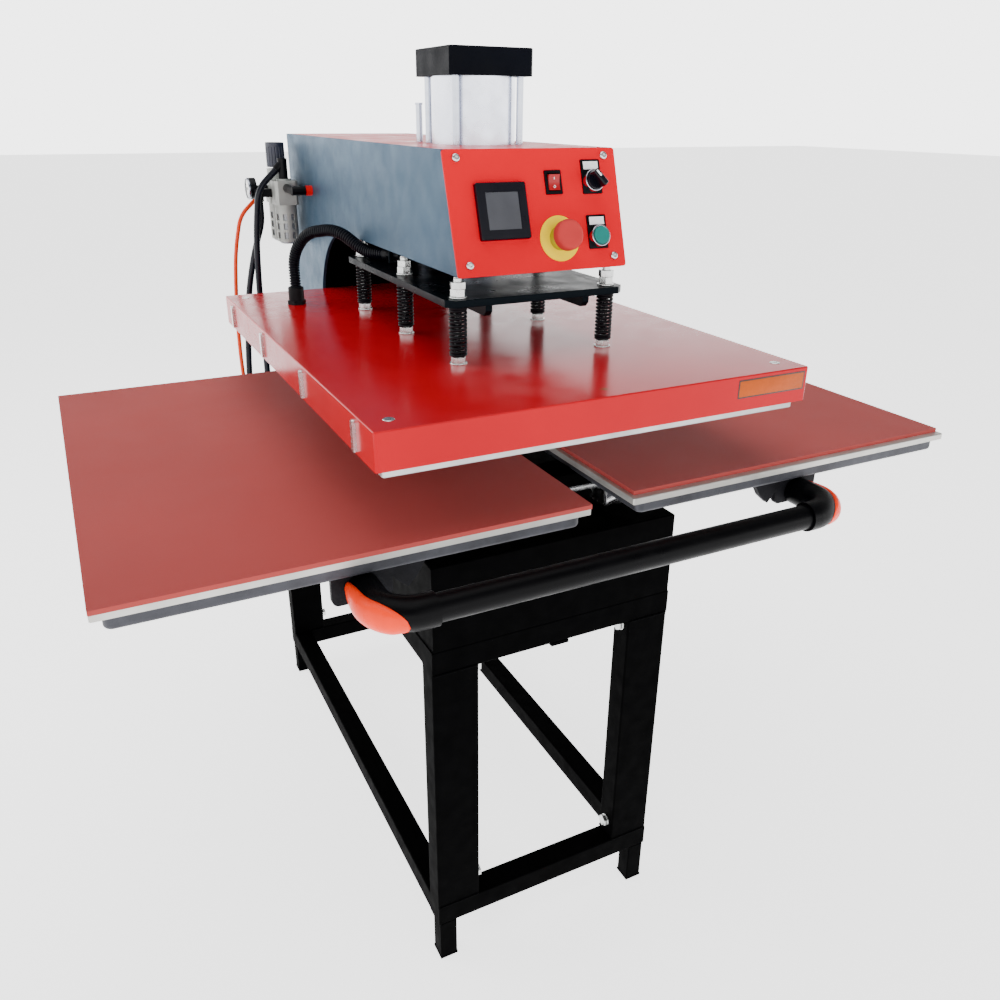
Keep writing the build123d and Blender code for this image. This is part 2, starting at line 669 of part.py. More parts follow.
def stud_nuts():
    """Below each spring a nut on a washer; above the press plate a washer and two nuts."""
    nuts = []
    bore = STUD_R + 0.05
    for x, y in stud_places():
        top = PRESS_TOP + GAP
        stack = [
            post(x, y, COVER_TOP, COVER_TOP + 2, 12),
            hexagon(x, y, COVER_TOP + 2, COVER_TOP + NUT_HEIGHT, NUT_FLATS),
            post(x, y, top, top + 2, 12),
            hexagon(x, y, top + 2, top + 2 + NUT_HEIGHT, NUT_FLATS),
            Pos(x, y) * Rot(0, 0, 17) * Pos(-x, -y) * hexagon(x, y, top + 12, top + 21, NUT_FLATS),
        ]
        for piece in stack:
            nuts.append(piece - post(x, y, COVER_TOP - 1, STUD_TOP + 1, bore))
    add("stud_nuts", *nuts)


def springs():
    """Envelope of each coil spring, between its lower nut and the press plate."""
    z0, z1 = COVER_TOP + NUT_HEIGHT, PRESS_BOTTOM - GAP
    add("springs", *[pipe(x, y, z0, z1, SPRING_R, SPRING_R - SPRING_WIRE) for x, y in stud_places()])


# ---------------------------------------------------------------- heated platen
def heater_places():
    return [-250 + 100 * step for step in range(6)]


def heat_plate():
    half_x, half_y = PLATE_WIDTH / 2 + 2, PLATE_DEPTH / 2 + 2
    plate = block(-half_x, half_x, -half_y, half_y, HEAT_BOTTOM, HEAT_TOP)
    plate = fillet(plate.edges().filter_by(Axis.Z), 4)
    plate = chamfer(plate.faces().sort_by(Axis.Z)[0].edges(), 1)
    for x in heater_places():
        plate -= Pos(x, 10, HEAT_TOP - 11) * Rot(90, 0, 0) * Cylinder(6.1, PLATE_DEPTH)
    add("heat_plate", plate)


def heater_rods():
    rods = [Pos(x, 15, HEAT_TOP - 11) * Rot(90, 0, 0) * Cylinder(6, PLATE_DEPTH - 30) for x in heater_places()]
    add("heater_rods", *rods)


def insulation_board():
    half_x, half_y = PLATE_WIDTH / 2 - 2, PLATE_DEPTH / 2 - 2
    add("insulation_board", block(-half_x, half_x, -half_y, half_y, HEAT_TOP, BACKING_BOTTOM))


def backing_plate():
    """Steel plate above the insulation, with a boss under each stud nut and a post under each cover screw."""
    plate = block(-298, 298, -393, 393, BACKING_BOTTOM, BACKING_TOP)
    plate -= post(GLAND_X, GLAND_Y, BACKING_BOTTOM - 1, BACKING_TOP + 1, 12)
    sheet_under = COVER_TOP - COVER_SHEET
    for x, y in stud_places():
        plate += pipe(x, y, BACKING_TOP, sheet_under, 14, STUD_R + 0.1)
    for x in (-COVER_SCREW_X, COVER_SCREW_X):
        for y in (-COVER_SCREW_Y, COVER_SCREW_Y):
            plate += pipe(x, y, BACKING_TOP, sheet_under - 2, 8, 3.2)
    add("backing_plate", plate)


def platen_cover():
    """Folded tray over the platen, open below."""
    shell = block(-COVER_HALF_X, COVER_HALF_X, -COVER_HALF_Y, COVER_HALF_Y, COVER_BOTTOM, COVER_TOP)
    shell = fillet(shell.edges().filter_by(Axis.Z), 4)
    shell = fillet(shell.faces().sort_by(Axis.Z)[-1].edges(), 2)
    inner_x, inner_y = COVER_HALF_X - COVER_SHEET, COVER_HALF_Y - COVER_SHEET
    shell -= block(-inner_x, inner_x, -inner_y, inner_y, COVER_BOTTOM - 1, COVER_TOP - COVER_SHEET)
    for x, y in stud_places():
        shell -= post(x, y, COVER_TOP - 5, COVER_TOP + 1, STUD_R + 0.3)
    shell -= post(GLAND_X, GLAND_Y, COVER_TOP - 5, COVER_TOP + 1, 10)
    for x in (-COVER_SCREW_X, COVER_SCREW_X):
        for y in (-COVER_SCREW_Y, COVER_SCREW_Y):
            shell -= post(x, y, COVER_TOP - 5, COVER_TOP + 1, 7.2)
    add("platen_cover", shell)


def cover_screws():
    """Flat-head screws at the corners of the cover."""
    screws = []
    for x in (-COVER_SCREW_X, COVER_SCREW_X):
        for y in (-COVER_SCREW_Y, COVER_SCREW_Y):
            head = post(x, y, COVER_TOP - COVER_SHEET - 2, COVER_TOP + 0.6, 7)
            head = chamfer(head.faces().sort_by(Axis.Z)[-1].edges(), 0.5)
            head -= block(x - 5, x + 5, y - 0.8, y + 0.8, COVER_TOP - 0.6, COVER_TOP + 2)
            screws.append(head + post(x, y, BACKING_TOP, COVER_TOP - 3, 3.1))
    add("cover_screws", *screws)


def skirt_straps():
    """Narrow round-topped straps on the left and right skirts."""
    straps = []
    low, high = COVER_BOTTOM + 4, COVER_TOP - 10
    for side in (-1, 1):
        near = side * COVER_HALF_X
        far = near + side * STRAP_THICK
        for y in (-345, -118, 118, 345):
            strap = block(near, far, y - STRAP_HALF, y + STRAP_HALF, low, high)
            strap += Pos((near + far) / 2, y, high) * Rot(0, 90, 0) * Cylinder(STRAP_HALF, STRAP_THICK)
            straps.append(strap)
    add("skirt_straps", *straps)


def conduit_gland():
    base = hexagon(GLAND_X, GLAND_Y, COVER_TOP, COVER_TOP + 7, 28)
    body = post(GLAND_X, GLAND_Y, COVER_TOP + 7, GLAND_TOP, 13.5)
    body = fillet(body.faces().sort_by(Axis.Z)[-1].edges(), 2)
    tail = post(GLAND_X, GLAND_Y, COVER_TOP - 8, COVER_TOP, 9.8)
    gland = base + body + tail
    gland -= post(GLAND_X, GLAND_Y, COVER_TOP - 9, GLAND_TOP - 6, 7)
    add("conduit_gland", gland)


def cable_glands():
    """Gland on the bracket under the arm, where the conduit ends, and the mains gland low on the rear sheet."""
    nut = hexagon(0, 0, 0, 6, 24)
    body = post(0, 0, 6, ARM_GLAND_LENGTH, 12)
    tail = post(0, 0, -14, 0, 7.8)
    gland = (nut + body + tail) - post(0, 0, -15, 16, 6)
    arm = Pos(ARM_GLAND_X, ARM_GLAND_Y, ARM_GLAND_Z) * Rot(0, 0, ARM_GLAND_TURN) * Rot(-90, 0, 0) * gland
    inlet = hexagon(0, 0, 0, 6, 24) + post(0, 0, 6, 22, 10) - post(0, 0, -1, 30, 4.5)
    add("cable_glands", arm, Pos(70, COLUMN_REAR, 690) * Rot(-90, 0, 0) * inlet)


def conduit_place(along, z):
    """A point of the upright plane through both glands, this far from the platen's gland."""
    turn = radians(ARM_GLAND_TURN)
    return GLAND_X + along * sin(turn), GLAND_Y - along * cos(turn), z


def conduit():
    """Arch that rises from the platen's gland and dips under the side plate's edge to the arm's gland."""
    span = hypot(ARM_GLAND_X - GLAND_X, ARM_GLAND_Y - GLAND_Y) - ARM_GLAND_LENGTH - GAP
    corners = [(0, GLAND_TOP), (0, 1092), (35, 1132), (105, 1143), (160, ARM_GLAND_Z), (span, ARM_GLAND_Z)]
    add("conduit", hose("conduit", [conduit_place(along, z) for along, z in corners], CONDUIT_R))


# ---------------------------------------------------------------- panel controls
def controller_case():
    """Square touch controller: rounded bezel with a recess for the screen, and its body behind the panel."""
    bezel = extrude(RectangleRounded(72, 72, 2.5), 7)
    bezel = chamfer(bezel.faces().sort_by(Axis.Z)[-1].edges(), 1)
    bezel -= Pos(0, 0, 5.4) * extrude(Rectangle(48, 48), 3)
    body = Pos(0, 0, -52) * extrude(Rectangle(66, 66), 52)
    add("controller_case", on_panel(*CONTROLLER_AT) * (bezel + body))


def controller_screen():
    screen = extrude(Rectangle(47.6, 47.6), 1)
    screen = chamfer(screen.faces().sort_by(Axis.Z)[-1].edges(), 0.3)
    add("controller_screen", on_panel(*CONTROLLER_AT, 5.4) * screen)


ROCKER_TILT = 9
ROCKER_PIN_R = 1.2


def rocker_bezel():
    frame = extrude(RectangleRounded(25, 31, 1), 2.4)
    frame = chamfer(frame.faces().sort_by(Axis.Z)[-1].edges(), 0.6)
    housing = Pos(0, 0, -18) * extrude(Rectangle(21.6, 27.6), 18)
    switch = frame + housing
    switch -= Pos(0, 0, -9) * extrude(Rectangle(17.6, 23.4), 20)
    switch -= Rot(0, 90, 0) * Cylinder(ROCKER_PIN_R + 0.05, 24)
    add("rocker_bezel", on_panel(*ROCKER_AT) * switch)


def rocker():
    """Rocker with a hollowed top and two pivot pins, tipped towards its lower side at rest."""
    outline = Polyline((-9.9, 5.2), (-9.9, 0.6), (-4, -3), (4, -3), (9.9, 0.6), (9.9, 5.2))
    hollow = ThreePointArc((9.9, 5.2), (0, 3.2), (-9.9, 5.2))
    profile = make_face([*outline.edges(), *hollow.edges()])
    body = extrude(Plane.YZ.offset(-8.3) * profile, 16.6) + Rot(0, 90, 0) * Cylinder(ROCKER_PIN_R, 20.4)
    add("rocker", on_panel(*ROCKER_AT) * Rot(ROCKER_TILT, 0, 0) * body)


LABEL_UP = 29                # from a control's centre to the top of its label plate


def label_plates():
    """Label holders above two controls, each with a blank white insert."""
    plates = []
    for place in (SELECTOR_AT, START_AT):
        plate = Pos(0, LABEL_UP - 22.5, 0) * extrude(RectangleRounded(30, 45, 1.5), 1.6)
        frame = extrude(Rectangle(27, 13), 2.6) - Pos(0, 0, 1.6) * extrude(Rectangle(23.6, 10.6), 2)
        plate += Pos(0, LABEL_UP - 7.9, 0) * frame
        plate -= Cylinder(11.2, 20)
        insert = Pos(0, LABEL_UP - 7.9, 1.6) * extrude(Rectangle(23.2, 10.2), 0.8)
        plates += [on_panel(*place) * plate, on_panel(*place) * insert]
    add("label_plates", *plates)


def collar_with_barrel(ring_r, ring_top, floor_top, seat, bore):
    """Round control housing: a ring on the panel, an inner floor, and a threaded barrel behind with its nut."""
    ring = post(0, 0, seat, ring_top, ring_r)
    ring = fillet(ring.faces().sort_by(Axis.Z)[-1].edges(), 1)
    ring -= post(0, 0, floor_top, ring_top + 1, 12.4)
    barrel = post(0, 0, -30, seat, 10.9)
    nut = pipe(0, 0, -PANEL_THICK - 6, -PANEL_THICK, 15, 10)
    return ring + barrel + nut - post(0, 0, -31, ring_top + 1, bore)


def control_bezels():
    bezels = [estop_collar()]
    for place in (SELECTOR_AT, START_AT):
        bezels.append(on_panel(*place) * collar_with_barrel(14.5, 10.5, 3, 1.6, 6.2))
    add("control_bezels", *bezels)


def start_button():
    cap = post(0, 0, 3 + START_TRAVEL + GAP, 12.4, 12)
    cap = fillet(cap.faces().sort_by(Axis.Z)[-1].edges(), 1)
    stem = post(0, 0, -20, 7, 5.9)
    add("start_button", on_panel(*START_AT) * (cap + stem))


SELECTOR_REST = 40           # the knob points this many degrees to the left of straight up


def selector_knob():
    """Round base, a tall narrow grip across it, and a stem."""
    base = post(0, 0, 3 + GAP, 14, 12)
    grip = Pos(0, 0, 14) * extrude(RectangleRounded(8.4, 24.4, 2), 14)
    ends = grip.edges().filter_by(Axis.X).sort_by(Axis.Z)[-2:]
    grip = chamfer(ends, 1.5)
    stem = post(0, 0, -20, 4, 5.9)
    add("selector_knob", on_panel(*SELECTOR_AT) * Rot(0, 0, SELECTOR_REST) * (base + grip + stem))


def estop_disc():
    disc = Cylinder(30, 1.5, align=(Align.CENTER, Align.CENTER, Align.MIN))
    disc -= Cylinder(11.2, 10)
    add("estop_disc", on_panel(*STOP_AT) * disc)


def estop_collar():
    """Stepped collar round the stop button's stem."""
    cone = Pos(0, 0, 1.5) * Cone(16, 13.5, 10, align=(Align.CENTER, Align.CENTER, Align.MIN))
    barrel = post(0, 0, -32, 1.5, 10.9)
    nut = pipe(0, 0, -PANEL_THICK - 6, -PANEL_THICK, 15, 10)
    collar = cone + barrel + nut - post(0, 0, -33, 13, 7.5)
    return on_panel(*STOP_AT) * collar


def estop_stem():
    add("estop_stem", on_panel(*STOP_AT) * post(0, 0, -24, 19, 4.6))


def estop_mushroom():
    """Mushroom head that turns on the stem; its skirt slides in the collar."""
    head = post(0, 0, 17.5, 32, 20)
    head = fillet(head.faces().sort_by(Axis.Z)[-1].edges(), 5)
    head = fillet(head.faces().sort_by(Axis.Z)[0].edges(), 2)
    skirt = post(0, 0, 2, 18, 7.1)
    head = head + skirt - post(0, 0, 1, 19 + GAP, 4.65)
    add("estop_mushroom", on_panel(*STOP_AT) * head)


# ---------------------------------------------------------------- air unit
def air_unit_body():
    """Two square bodies in a row, joined by a clamp, on an angle bracket against the side plate."""
    pieces = []
    for y in (AIR_FRONT_Y, AIR_REAR_Y):
        body = block(AIR_X - 22, AIR_X + 22, y - 22, y + 22, AIR_BODY_BOTTOM, AIR_BODY_TOP)
        pieces.append(chamfer(body.edges().filter_by(Axis.Z), 5))
    pieces.append(block(AIR_X - 20, AIR_X + 20, AIR_FRONT_Y + 22, AIR_REAR_Y - 22, 1160, 1192))
    pieces.append(pipe(AIR_X, AIR_REAR_Y, AIR_BODY_TOP, 1216, 19, 8))
    pieces.append(post(AIR_X, AIR_FRONT_Y, AIR_BODY_TOP, AIR_BODY_TOP + 3, 14))
    bracket = block(AIR_X + 22, -HEAD_HALF, AIR_FRONT_Y - 14, AIR_REAR_Y + 12, 1168, 1186)
    pieces.append(bracket)
    add("air_unit_body", *pieces)


def air_bowls():
    """Bowl guards with three rows of slots, and the bowls inside them."""
    pieces = []
    for y in (AIR_FRONT_Y, AIR_REAR_Y):
        guard = pipe(AIR_X, y, 1084, AIR_BODY_BOTTOM, 21, 18.5)
        for turn in range(4):
            for z in (1096, 1113, 1130):
                slot = Pos(AIR_X, y, z) * Rot(0, 0, 22.5 + 45 * turn) * Box(60, 8, 12)
                guard -= slot
        pieces.append(guard)
        bowl = post(AIR_X, y, 1079, AIR_BODY_BOTTOM, 18)
        pieces.append(fillet(bowl.faces().sort_by(Axis.Z)[0].edges(), 6))
    add("air_bowls", *pieces)


def regulator_knob():
    knob = post(AIR_X, AIR_REAR_Y, 1219, 1264, 18)
    knob = fillet(knob.faces().sort_by(Axis.Z)[-1].edges(), 2)
    for step in range(18):
        angle = radians(20 * step)
        knob -= post(AIR_X + 19 * cos(angle), AIR_REAR_Y + 19 * sin(angle), 1218, 1256, 2)
    stem = post(AIR_X, AIR_REAR_Y, 1200, 1219, 7.6)
    add("regulator_knob", knob + stem)


def air_gauge():
    """Round gauge on the left of the rear body, facing left."""
    case = post(0, 0, 0, 16, 20)
    case = fillet(case.faces().sort_by(Axis.Z)[-1].edges(), 2)
    case -= post(0, 0, 14, 17, 17)
    dial = post(0, 0, 14, 14.6, 17)
    boss = post(0, 0, -24, 0, 6)
    left = Pos(AIR_X - 22 - 24, AIR_REAR_Y - 2, 1180) * Rot(0, -90, 0)
    add("air_gauge", left * (case + boss + dial))


def push_fitting(radius, length):
    """Push-in fitting along +z: hexagon, body and release ring."""
    body = hexagon(0, 0, 0, 0.35 * length, 2 * radius) + post(0, 0, 0.35 * length, 0.85 * length, radius)
    return body + post(0, 0, 0.85 * length, length, 0.8 * radius)


TUBE_R = 6
SUPPLY_R = 4
NOZZLE = 18                  # length of the two slanting nozzles
TOP_NOZZLE = (AIR_X, AIR_FRONT_Y, 1228)
SUPPLY_NOZZLE = (-188, AIR_REAR_Y + 17, 1170)
NOZZLE_SLANT = 48            # they point down and left, this far from straight down
MANIFOLD_PORTS = [(-226, 548, 10), (-262, 560, 10), (-262, 596, 8)]


def along_nozzle(origin, distance):
    slant = radians(NOZZLE_SLANT)
    x, y, z = origin
    return x - distance * sin(slant), y, z - distance * cos(slant)


def slanting_nozzle(origin, radius):
    return Pos(*origin) * Rot(0, NOZZLE_SLANT - 180, 0) * post(0, 0, 0, NOZZLE, radius)


def air_fittings():
    """Elbows on the air unit, one of them into the side plate, and the manifold with its fittings."""
    elbow_top = post(AIR_X, AIR_FRONT_Y, AIR_BODY_TOP + 3, 1237, 9)
    elbow_top += slanting_nozzle(TOP_NOZZLE, 8)
    side_run = AIR_FRONT_Y - 30 - SIDE_PORT_Y
    side = Pos(AIR_X, SIDE_PORT_Y + 8, SIDE_PORT_Z) * Rot(-90, 0, 0) * post(0, 0, 0, side_run, 8)
    side += Pos(AIR_X, SIDE_PORT_Y, SIDE_PORT_Z) * Rot(0, 90, 0) * post(0, 0, -8, -HEAD_HALF - AIR_X, 8)
    side += Pos(-HEAD_HALF, SIDE_PORT_Y, SIDE_PORT_Z) * Rot(0, -90, 0) * post(0, 0, 0, 12, 9)
    gauge_elbow = block(-211, AIR_X - 22, AIR_REAR_Y - 38, AIR_REAR_Y - 23, 1166, 1181)
    gauge_elbow += post(-203, AIR_REAR_Y - 30, 1158, 1168, 8)
    supply_elbow = block(-190, AIR_X - 22, AIR_REAR_Y + 13, AIR_REAR_Y + 21, 1163, 1177)
    supply_elbow += slanting_nozzle(SUPPLY_NOZZLE, 6)
    height = FITTING_TOP - MANIFOLD_TOP
    ports = [Pos(x, y, MANIFOLD_TOP) * push_fitting(radius, height) for x, y, radius in MANIFOLD_PORTS]
    coupler = Pos(-290, 572, 605) * Rot(0, -90, 0) * push_fitting(10, 34)
    cap_port = Pos(0, CAP_SIZE / 2, CAP_PORT_Z) * Rot(-90, 0, 0) * post(0, 0, 0, 22, 7)
    cap_port += post(0, CAP_TUBE_Y, CAP_PORT_Z - 14, CAP_PORT_Z, 6)
    manifold = block(-290, -STAND_HALF, 530, 614, LEG_TOP + 4, MANIFOLD_TOP)
    manifold = chamfer(manifold.edges().filter_by(Axis.Z), 3)
    add("air_fittings", elbow_top, side, gauge_elbow, supply_elbow, *ports, coupler, cap_port, manifold)


def tube_routes():
    """Routes of the top, gauge and supply tubes, from the air unit down to the manifold."""
    ports = [(x, y, FITTING_TOP) for x, y, _ in MANIFOLD_PORTS]
    top = [
        along_nozzle(TOP_NOZZLE, NOZZLE), along_nozzle(TOP_NOZZLE, NOZZLE + 50), (-220, 537, 1095),
        (-224, 542, 985), (-223, 545, 890), (-224, 547, 805), (-226, 548, 725), ports[0],
    ]
    gauge = [
        (-203, 552, 1158), (-203, 552, 1120), (-223, 556, 1062), (-240, 558, 995),
        (-251, 559, 915), (-258, 560, 830), (-262, 560, 745), ports[1],
    ]
    supply = [
        along_nozzle(SUPPLY_NOZZLE, NOZZLE), along_nozzle(SUPPLY_NOZZLE, NOZZLE + 45), (-252, 598, 1060),
        (-260, 597, 985), (-265, 597, 905), (-266, 596, 825), (-262, 596, 745), ports[2],
    ]
    return top, gauge, supply


def air_tubes():
    top_route, gauge_route, _ = tube_routes()
    top = hose("top tube", top_route, TUBE_R)
    gauge = hose("gauge tube", gauge_route, TUBE_R)
    cap = post(0, CAP_TUBE_Y, MOUNT_TOP, CAP_PORT_Z - 14, 4)
    add("air_tubes", top, gauge, cap)


def supply_tube():
    add("supply_tube", hose("supply tube", tube_routes()[2], SUPPLY_R))


# ---------------------------------------------------------------- inside the column
def solenoid_valve():
    """Valve with its coil on the right side plate."""
    half = inner_half()
    body = block(half - 34, half, 470, 500, 880, 1000)
    coil = block(half - 30, half - 2, 472, 498, 1000, 1040)
    fill = block(half - 34, half - 20, 462, 470, 900, 930)
    return [body, coil, fill]


def column_electrics():
    """Tray on the column's rear sheet with a solid-state relay, a terminal row and a supply, and the valve."""
    y = COLUMN_REAR - 3
    tray = block(-90, 70, y - 3, y, 720, 1040)
    relay = block(-80, -20, y - 31, y - 3, 930, 1020)
    supply = block(-6, 62, y - 43, y - 3, 900, 1020)
    rows = [block(-80 + 14 * step, -68 + 14 * step, y - 33, y - 3, 760, 800) for step in range(10)]
    add("column_electrics", tray, relay, supply, *rows, *solenoid_valve())


# ---------------------------------------------------------------- assembly
BUILDERS = [
    stand_feet, stand_rings, stand_legs, frame_bolts, base_box, carriages,
    guide_rails, cross_beams, stop_bumpers, table_blocks, table_plates, pads,
    handle_bar, handle_elbows, handle_caps, handle_brackets,
    side_plates, column_covers, top_cover, front_panel,
    mount_plate, cylinder_heads, cylinder_barrel, tie_rods, piston, guide_rods,
    press_plate, spring_studs, stud_nuts, springs,
    heat_plate, heater_rods, insulation_board, backing_plate, platen_cover, cover_screws, skirt_straps,
    conduit_gland, cable_glands, conduit,
    controller_case, controller_screen, rocker_bezel, rocker, label_plates, control_bezels,
    start_button, selector_knob, estop_disc, estop_stem, estop_mushroom,
    air_unit_body, air_bowls, regulator_knob, air_gauge, air_fittings, air_tubes, supply_tube,
    column_electrics,
]

for build in BUILDERS:
    build()

limits = [node.bounding_box() for node in NODES.values()]
LOW = Vector(*[min(getattr(box.min, letter) for box in limits) for letter in "XYZ"])
HIGH = Vector(*[max(getattr(box.max, letter) for box in limits) for letter in "XYZ"])
ORIGIN = Vector((LOW.X + HIGH.X) / 2, (LOW.Y + HIGH.Y) / 2, LOW.Z)

os.makedirs("parts", exist_ok=True)
for name, node in NODES.items():
    export_step(Pos(-ORIGIN.X, -ORIGIN.Y, -ORIGIN.Z) * node, f"parts/{name}.step")
print(f"{len(NODES)} nodes, size {HIGH - LOW}, origin {ORIGIN}")
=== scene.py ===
import math
import random

import bpy
from mathutils import Matrix, Vector

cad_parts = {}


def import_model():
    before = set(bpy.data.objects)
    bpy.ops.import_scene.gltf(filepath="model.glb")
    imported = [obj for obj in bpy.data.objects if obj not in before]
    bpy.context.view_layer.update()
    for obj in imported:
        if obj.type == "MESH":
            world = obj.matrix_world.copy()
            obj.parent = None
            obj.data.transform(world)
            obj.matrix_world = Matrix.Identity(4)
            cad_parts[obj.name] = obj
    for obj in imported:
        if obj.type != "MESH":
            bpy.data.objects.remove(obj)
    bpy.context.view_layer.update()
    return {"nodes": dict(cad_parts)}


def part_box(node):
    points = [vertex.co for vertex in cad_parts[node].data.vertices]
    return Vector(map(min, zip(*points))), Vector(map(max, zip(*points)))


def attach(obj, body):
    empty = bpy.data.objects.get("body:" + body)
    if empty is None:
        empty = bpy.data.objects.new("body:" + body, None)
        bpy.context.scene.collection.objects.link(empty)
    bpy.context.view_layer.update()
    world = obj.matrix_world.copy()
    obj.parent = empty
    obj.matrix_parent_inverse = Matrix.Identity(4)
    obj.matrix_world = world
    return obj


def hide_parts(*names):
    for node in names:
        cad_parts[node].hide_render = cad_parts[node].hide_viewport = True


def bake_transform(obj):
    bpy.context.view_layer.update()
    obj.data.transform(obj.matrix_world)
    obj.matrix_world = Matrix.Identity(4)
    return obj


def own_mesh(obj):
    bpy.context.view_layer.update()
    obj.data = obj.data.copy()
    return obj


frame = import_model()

# Looks of a twin-station pneumatic heat press. Lengths below are millimetres in the machine frame:
# x right from the head's centre line, y back from the platen's centre, z up from the floor.
# at() turns them into metres in the row frame.
MM = 0.001
random.seed(7)


def middle(node):
    """The middle of a CAD node's box."""
    low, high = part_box(node)
    return (low + high) / 2


HEAD_X = middle("side_plates").x
PLATEN_Y = middle("platen_cover").y


def at(x, y, z):
    """A place given in machine millimetres, in the row frame."""
    return Vector((HEAD_X + x * MM, PLATEN_Y + y * MM, z * MM))


# ---------------------------------------------------------------- sizes shared with the CAD
TILT = math.radians(18)       # lean of the panel
PANEL_TOP = (-178, 1279)      # y and z of the panel's upper edge
ROCKER_AT = (27, 44)          # controls: millimetres right of the centre and down the panel
ROCKER_TILT = math.radians(9)
SELECTOR_AT = (87, 44.5)
SELECTOR_REST = math.radians(40)
SELECTOR_FACE = 28            # height of the grip above the panel
START_AT = (87, 117.5)
INSERT_HALF = 11.7            # half width of a label plate's insert
INSERT_UP = (15.9, 26.3)      # from below the insert to above it, up the panel
INSERT_OUT = (1.7, 2.55)      # heights above the panel between which only the insert's face lies

SHUTTLE_REST = 13
HANDLE_Y = -465
HANDLE_Z = 806
HANDLE_BEND = 45
HANDLE_ARM = 340
SLEEVE_R = 21
CAP_START = math.radians(20)  # angle round the bend where the cap begins
CAP_TAIL = 35                 # length of the cap behind the bend
CAP_ROUND = 0.3               # share of the cap's length in its rounded end
CAP_HALF = 64                 # degrees round the tube that the cap covers, each way
CAP_NARROWING = 50
CAP_LOW = -20                 # degrees above level where the cap's middle starts, and how far it climbs
CAP_CLIMB = 44
CAP_CROWN = 5.6

STUD_X = 116
STUD_YS = (-197, 0, 197)
STUD_R = 6
STUD_BOTTOM = 994
STUD_TOP = 1125
COVER_TOP = 1008
SKIRT_FRONT = -413
LABEL_ENDS = (191, 306)
LABEL_EDGES = (977.5, 1003)
LABEL_BORDER = 2
SPRING_BOTTOM = 1018
SPRING_TOP = 1086.7
SPRING_TURNS = 14
SPRING_COIL_R = 10.6
SPRING_WIRE_R = 2.0
TOP_HEAD_LOW = 1360           # just above the underside of the cylinder's upper head

GLAND = (-212, 288, 1038)     # where the conduit leaves the platen, and where it enters the arm
ARM_GLAND = (-95, 102, 1111)
ARM_GLAND_DEPTH = 15.3
GLAND_SPAN = math.hypot(ARM_GLAND[0] - GLAND[0], ARM_GLAND[1] - GLAND[1])
CONDUIT_BENDS = ((0, 1092), (35, 1132), (105, 1143), (160, ARM_GLAND[2]))

AIR_UNIT_X = -158
BOWL_YS = (532, 582)
BOWL_R = 18.3
GAUGE_OUT = 60.6              # from the air unit's axis to the dial
GAUGE_Y = 580
GAUGE_Z = 1180
ELBOW_RING_X = -137           # the side elbow's red ring is right of this, behind and above the next two
ELBOW_FRONT = 300
ELBOW_LOW = 1160
MANIFOLD_LEFT = -291
MANIFOLD_TOP = 626
RELAY_REAR = 594

LEG_OUT = 205                 # x where a weld across a leg starts and ends
LEG_IN = 133
RING_IN = 166                 # x of the side tubes' inner faces
STAND_ENDS = (-293, 663)      # y of the stand's front and rear faces
END_TUBES_IN = (-253, 623)    # y of the front and rear tubes' inner faces
LEG_SEAMS = (120, 581)        # heights where a leg meets a ring
RING_BOTTOMS = (80, 581)
RING_TUBE = 40


# ---------------------------------------------------------------- materials
def mixed(tree, factor, dark, light):
    mix = tree.nodes.new("ShaderNodeMix")
    mix.data_type = "RGBA"
    mix.inputs["A"].default_value = (*dark, 1)
    mix.inputs["B"].default_value = (*light, 1)
    tree.links.new(factor, mix.inputs["Factor"])
    return mix.outputs["Result"]


def noise(tree, coords, scale, detail=4, stretch=(1, 1, 1)):
    mapping = tree.nodes.new("ShaderNodeMapping")
    mapping.inputs["Scale"].default_value = stretch
    tree.links.new(coords, mapping.inputs["Vector"])
    texture = tree.nodes.new("ShaderNodeTexNoise")
    texture.inputs["Scale"].default_value = scale
    texture.inputs["Detail"].default_value = detail
    tree.links.new(mapping.outputs["Vector"], texture.inputs["Vector"])
    return texture.outputs["Fac"]


def ranged(tree, value, low, high, start=0.3, end=0.7):
    remap = tree.nodes.new("ShaderNodeMapRange")
    remap.inputs["From Min"].default_value = start
    remap.inputs["From Max"].default_value = end
    remap.inputs["To Min"].default_value = low
    remap.inputs["To Max"].default_value = high
    tree.links.new(value, remap.inputs["Value"])
    return remap.outputs["Result"]


def scaled(colour, factor):
    return tuple(min(1, channel * factor) for channel in colour)


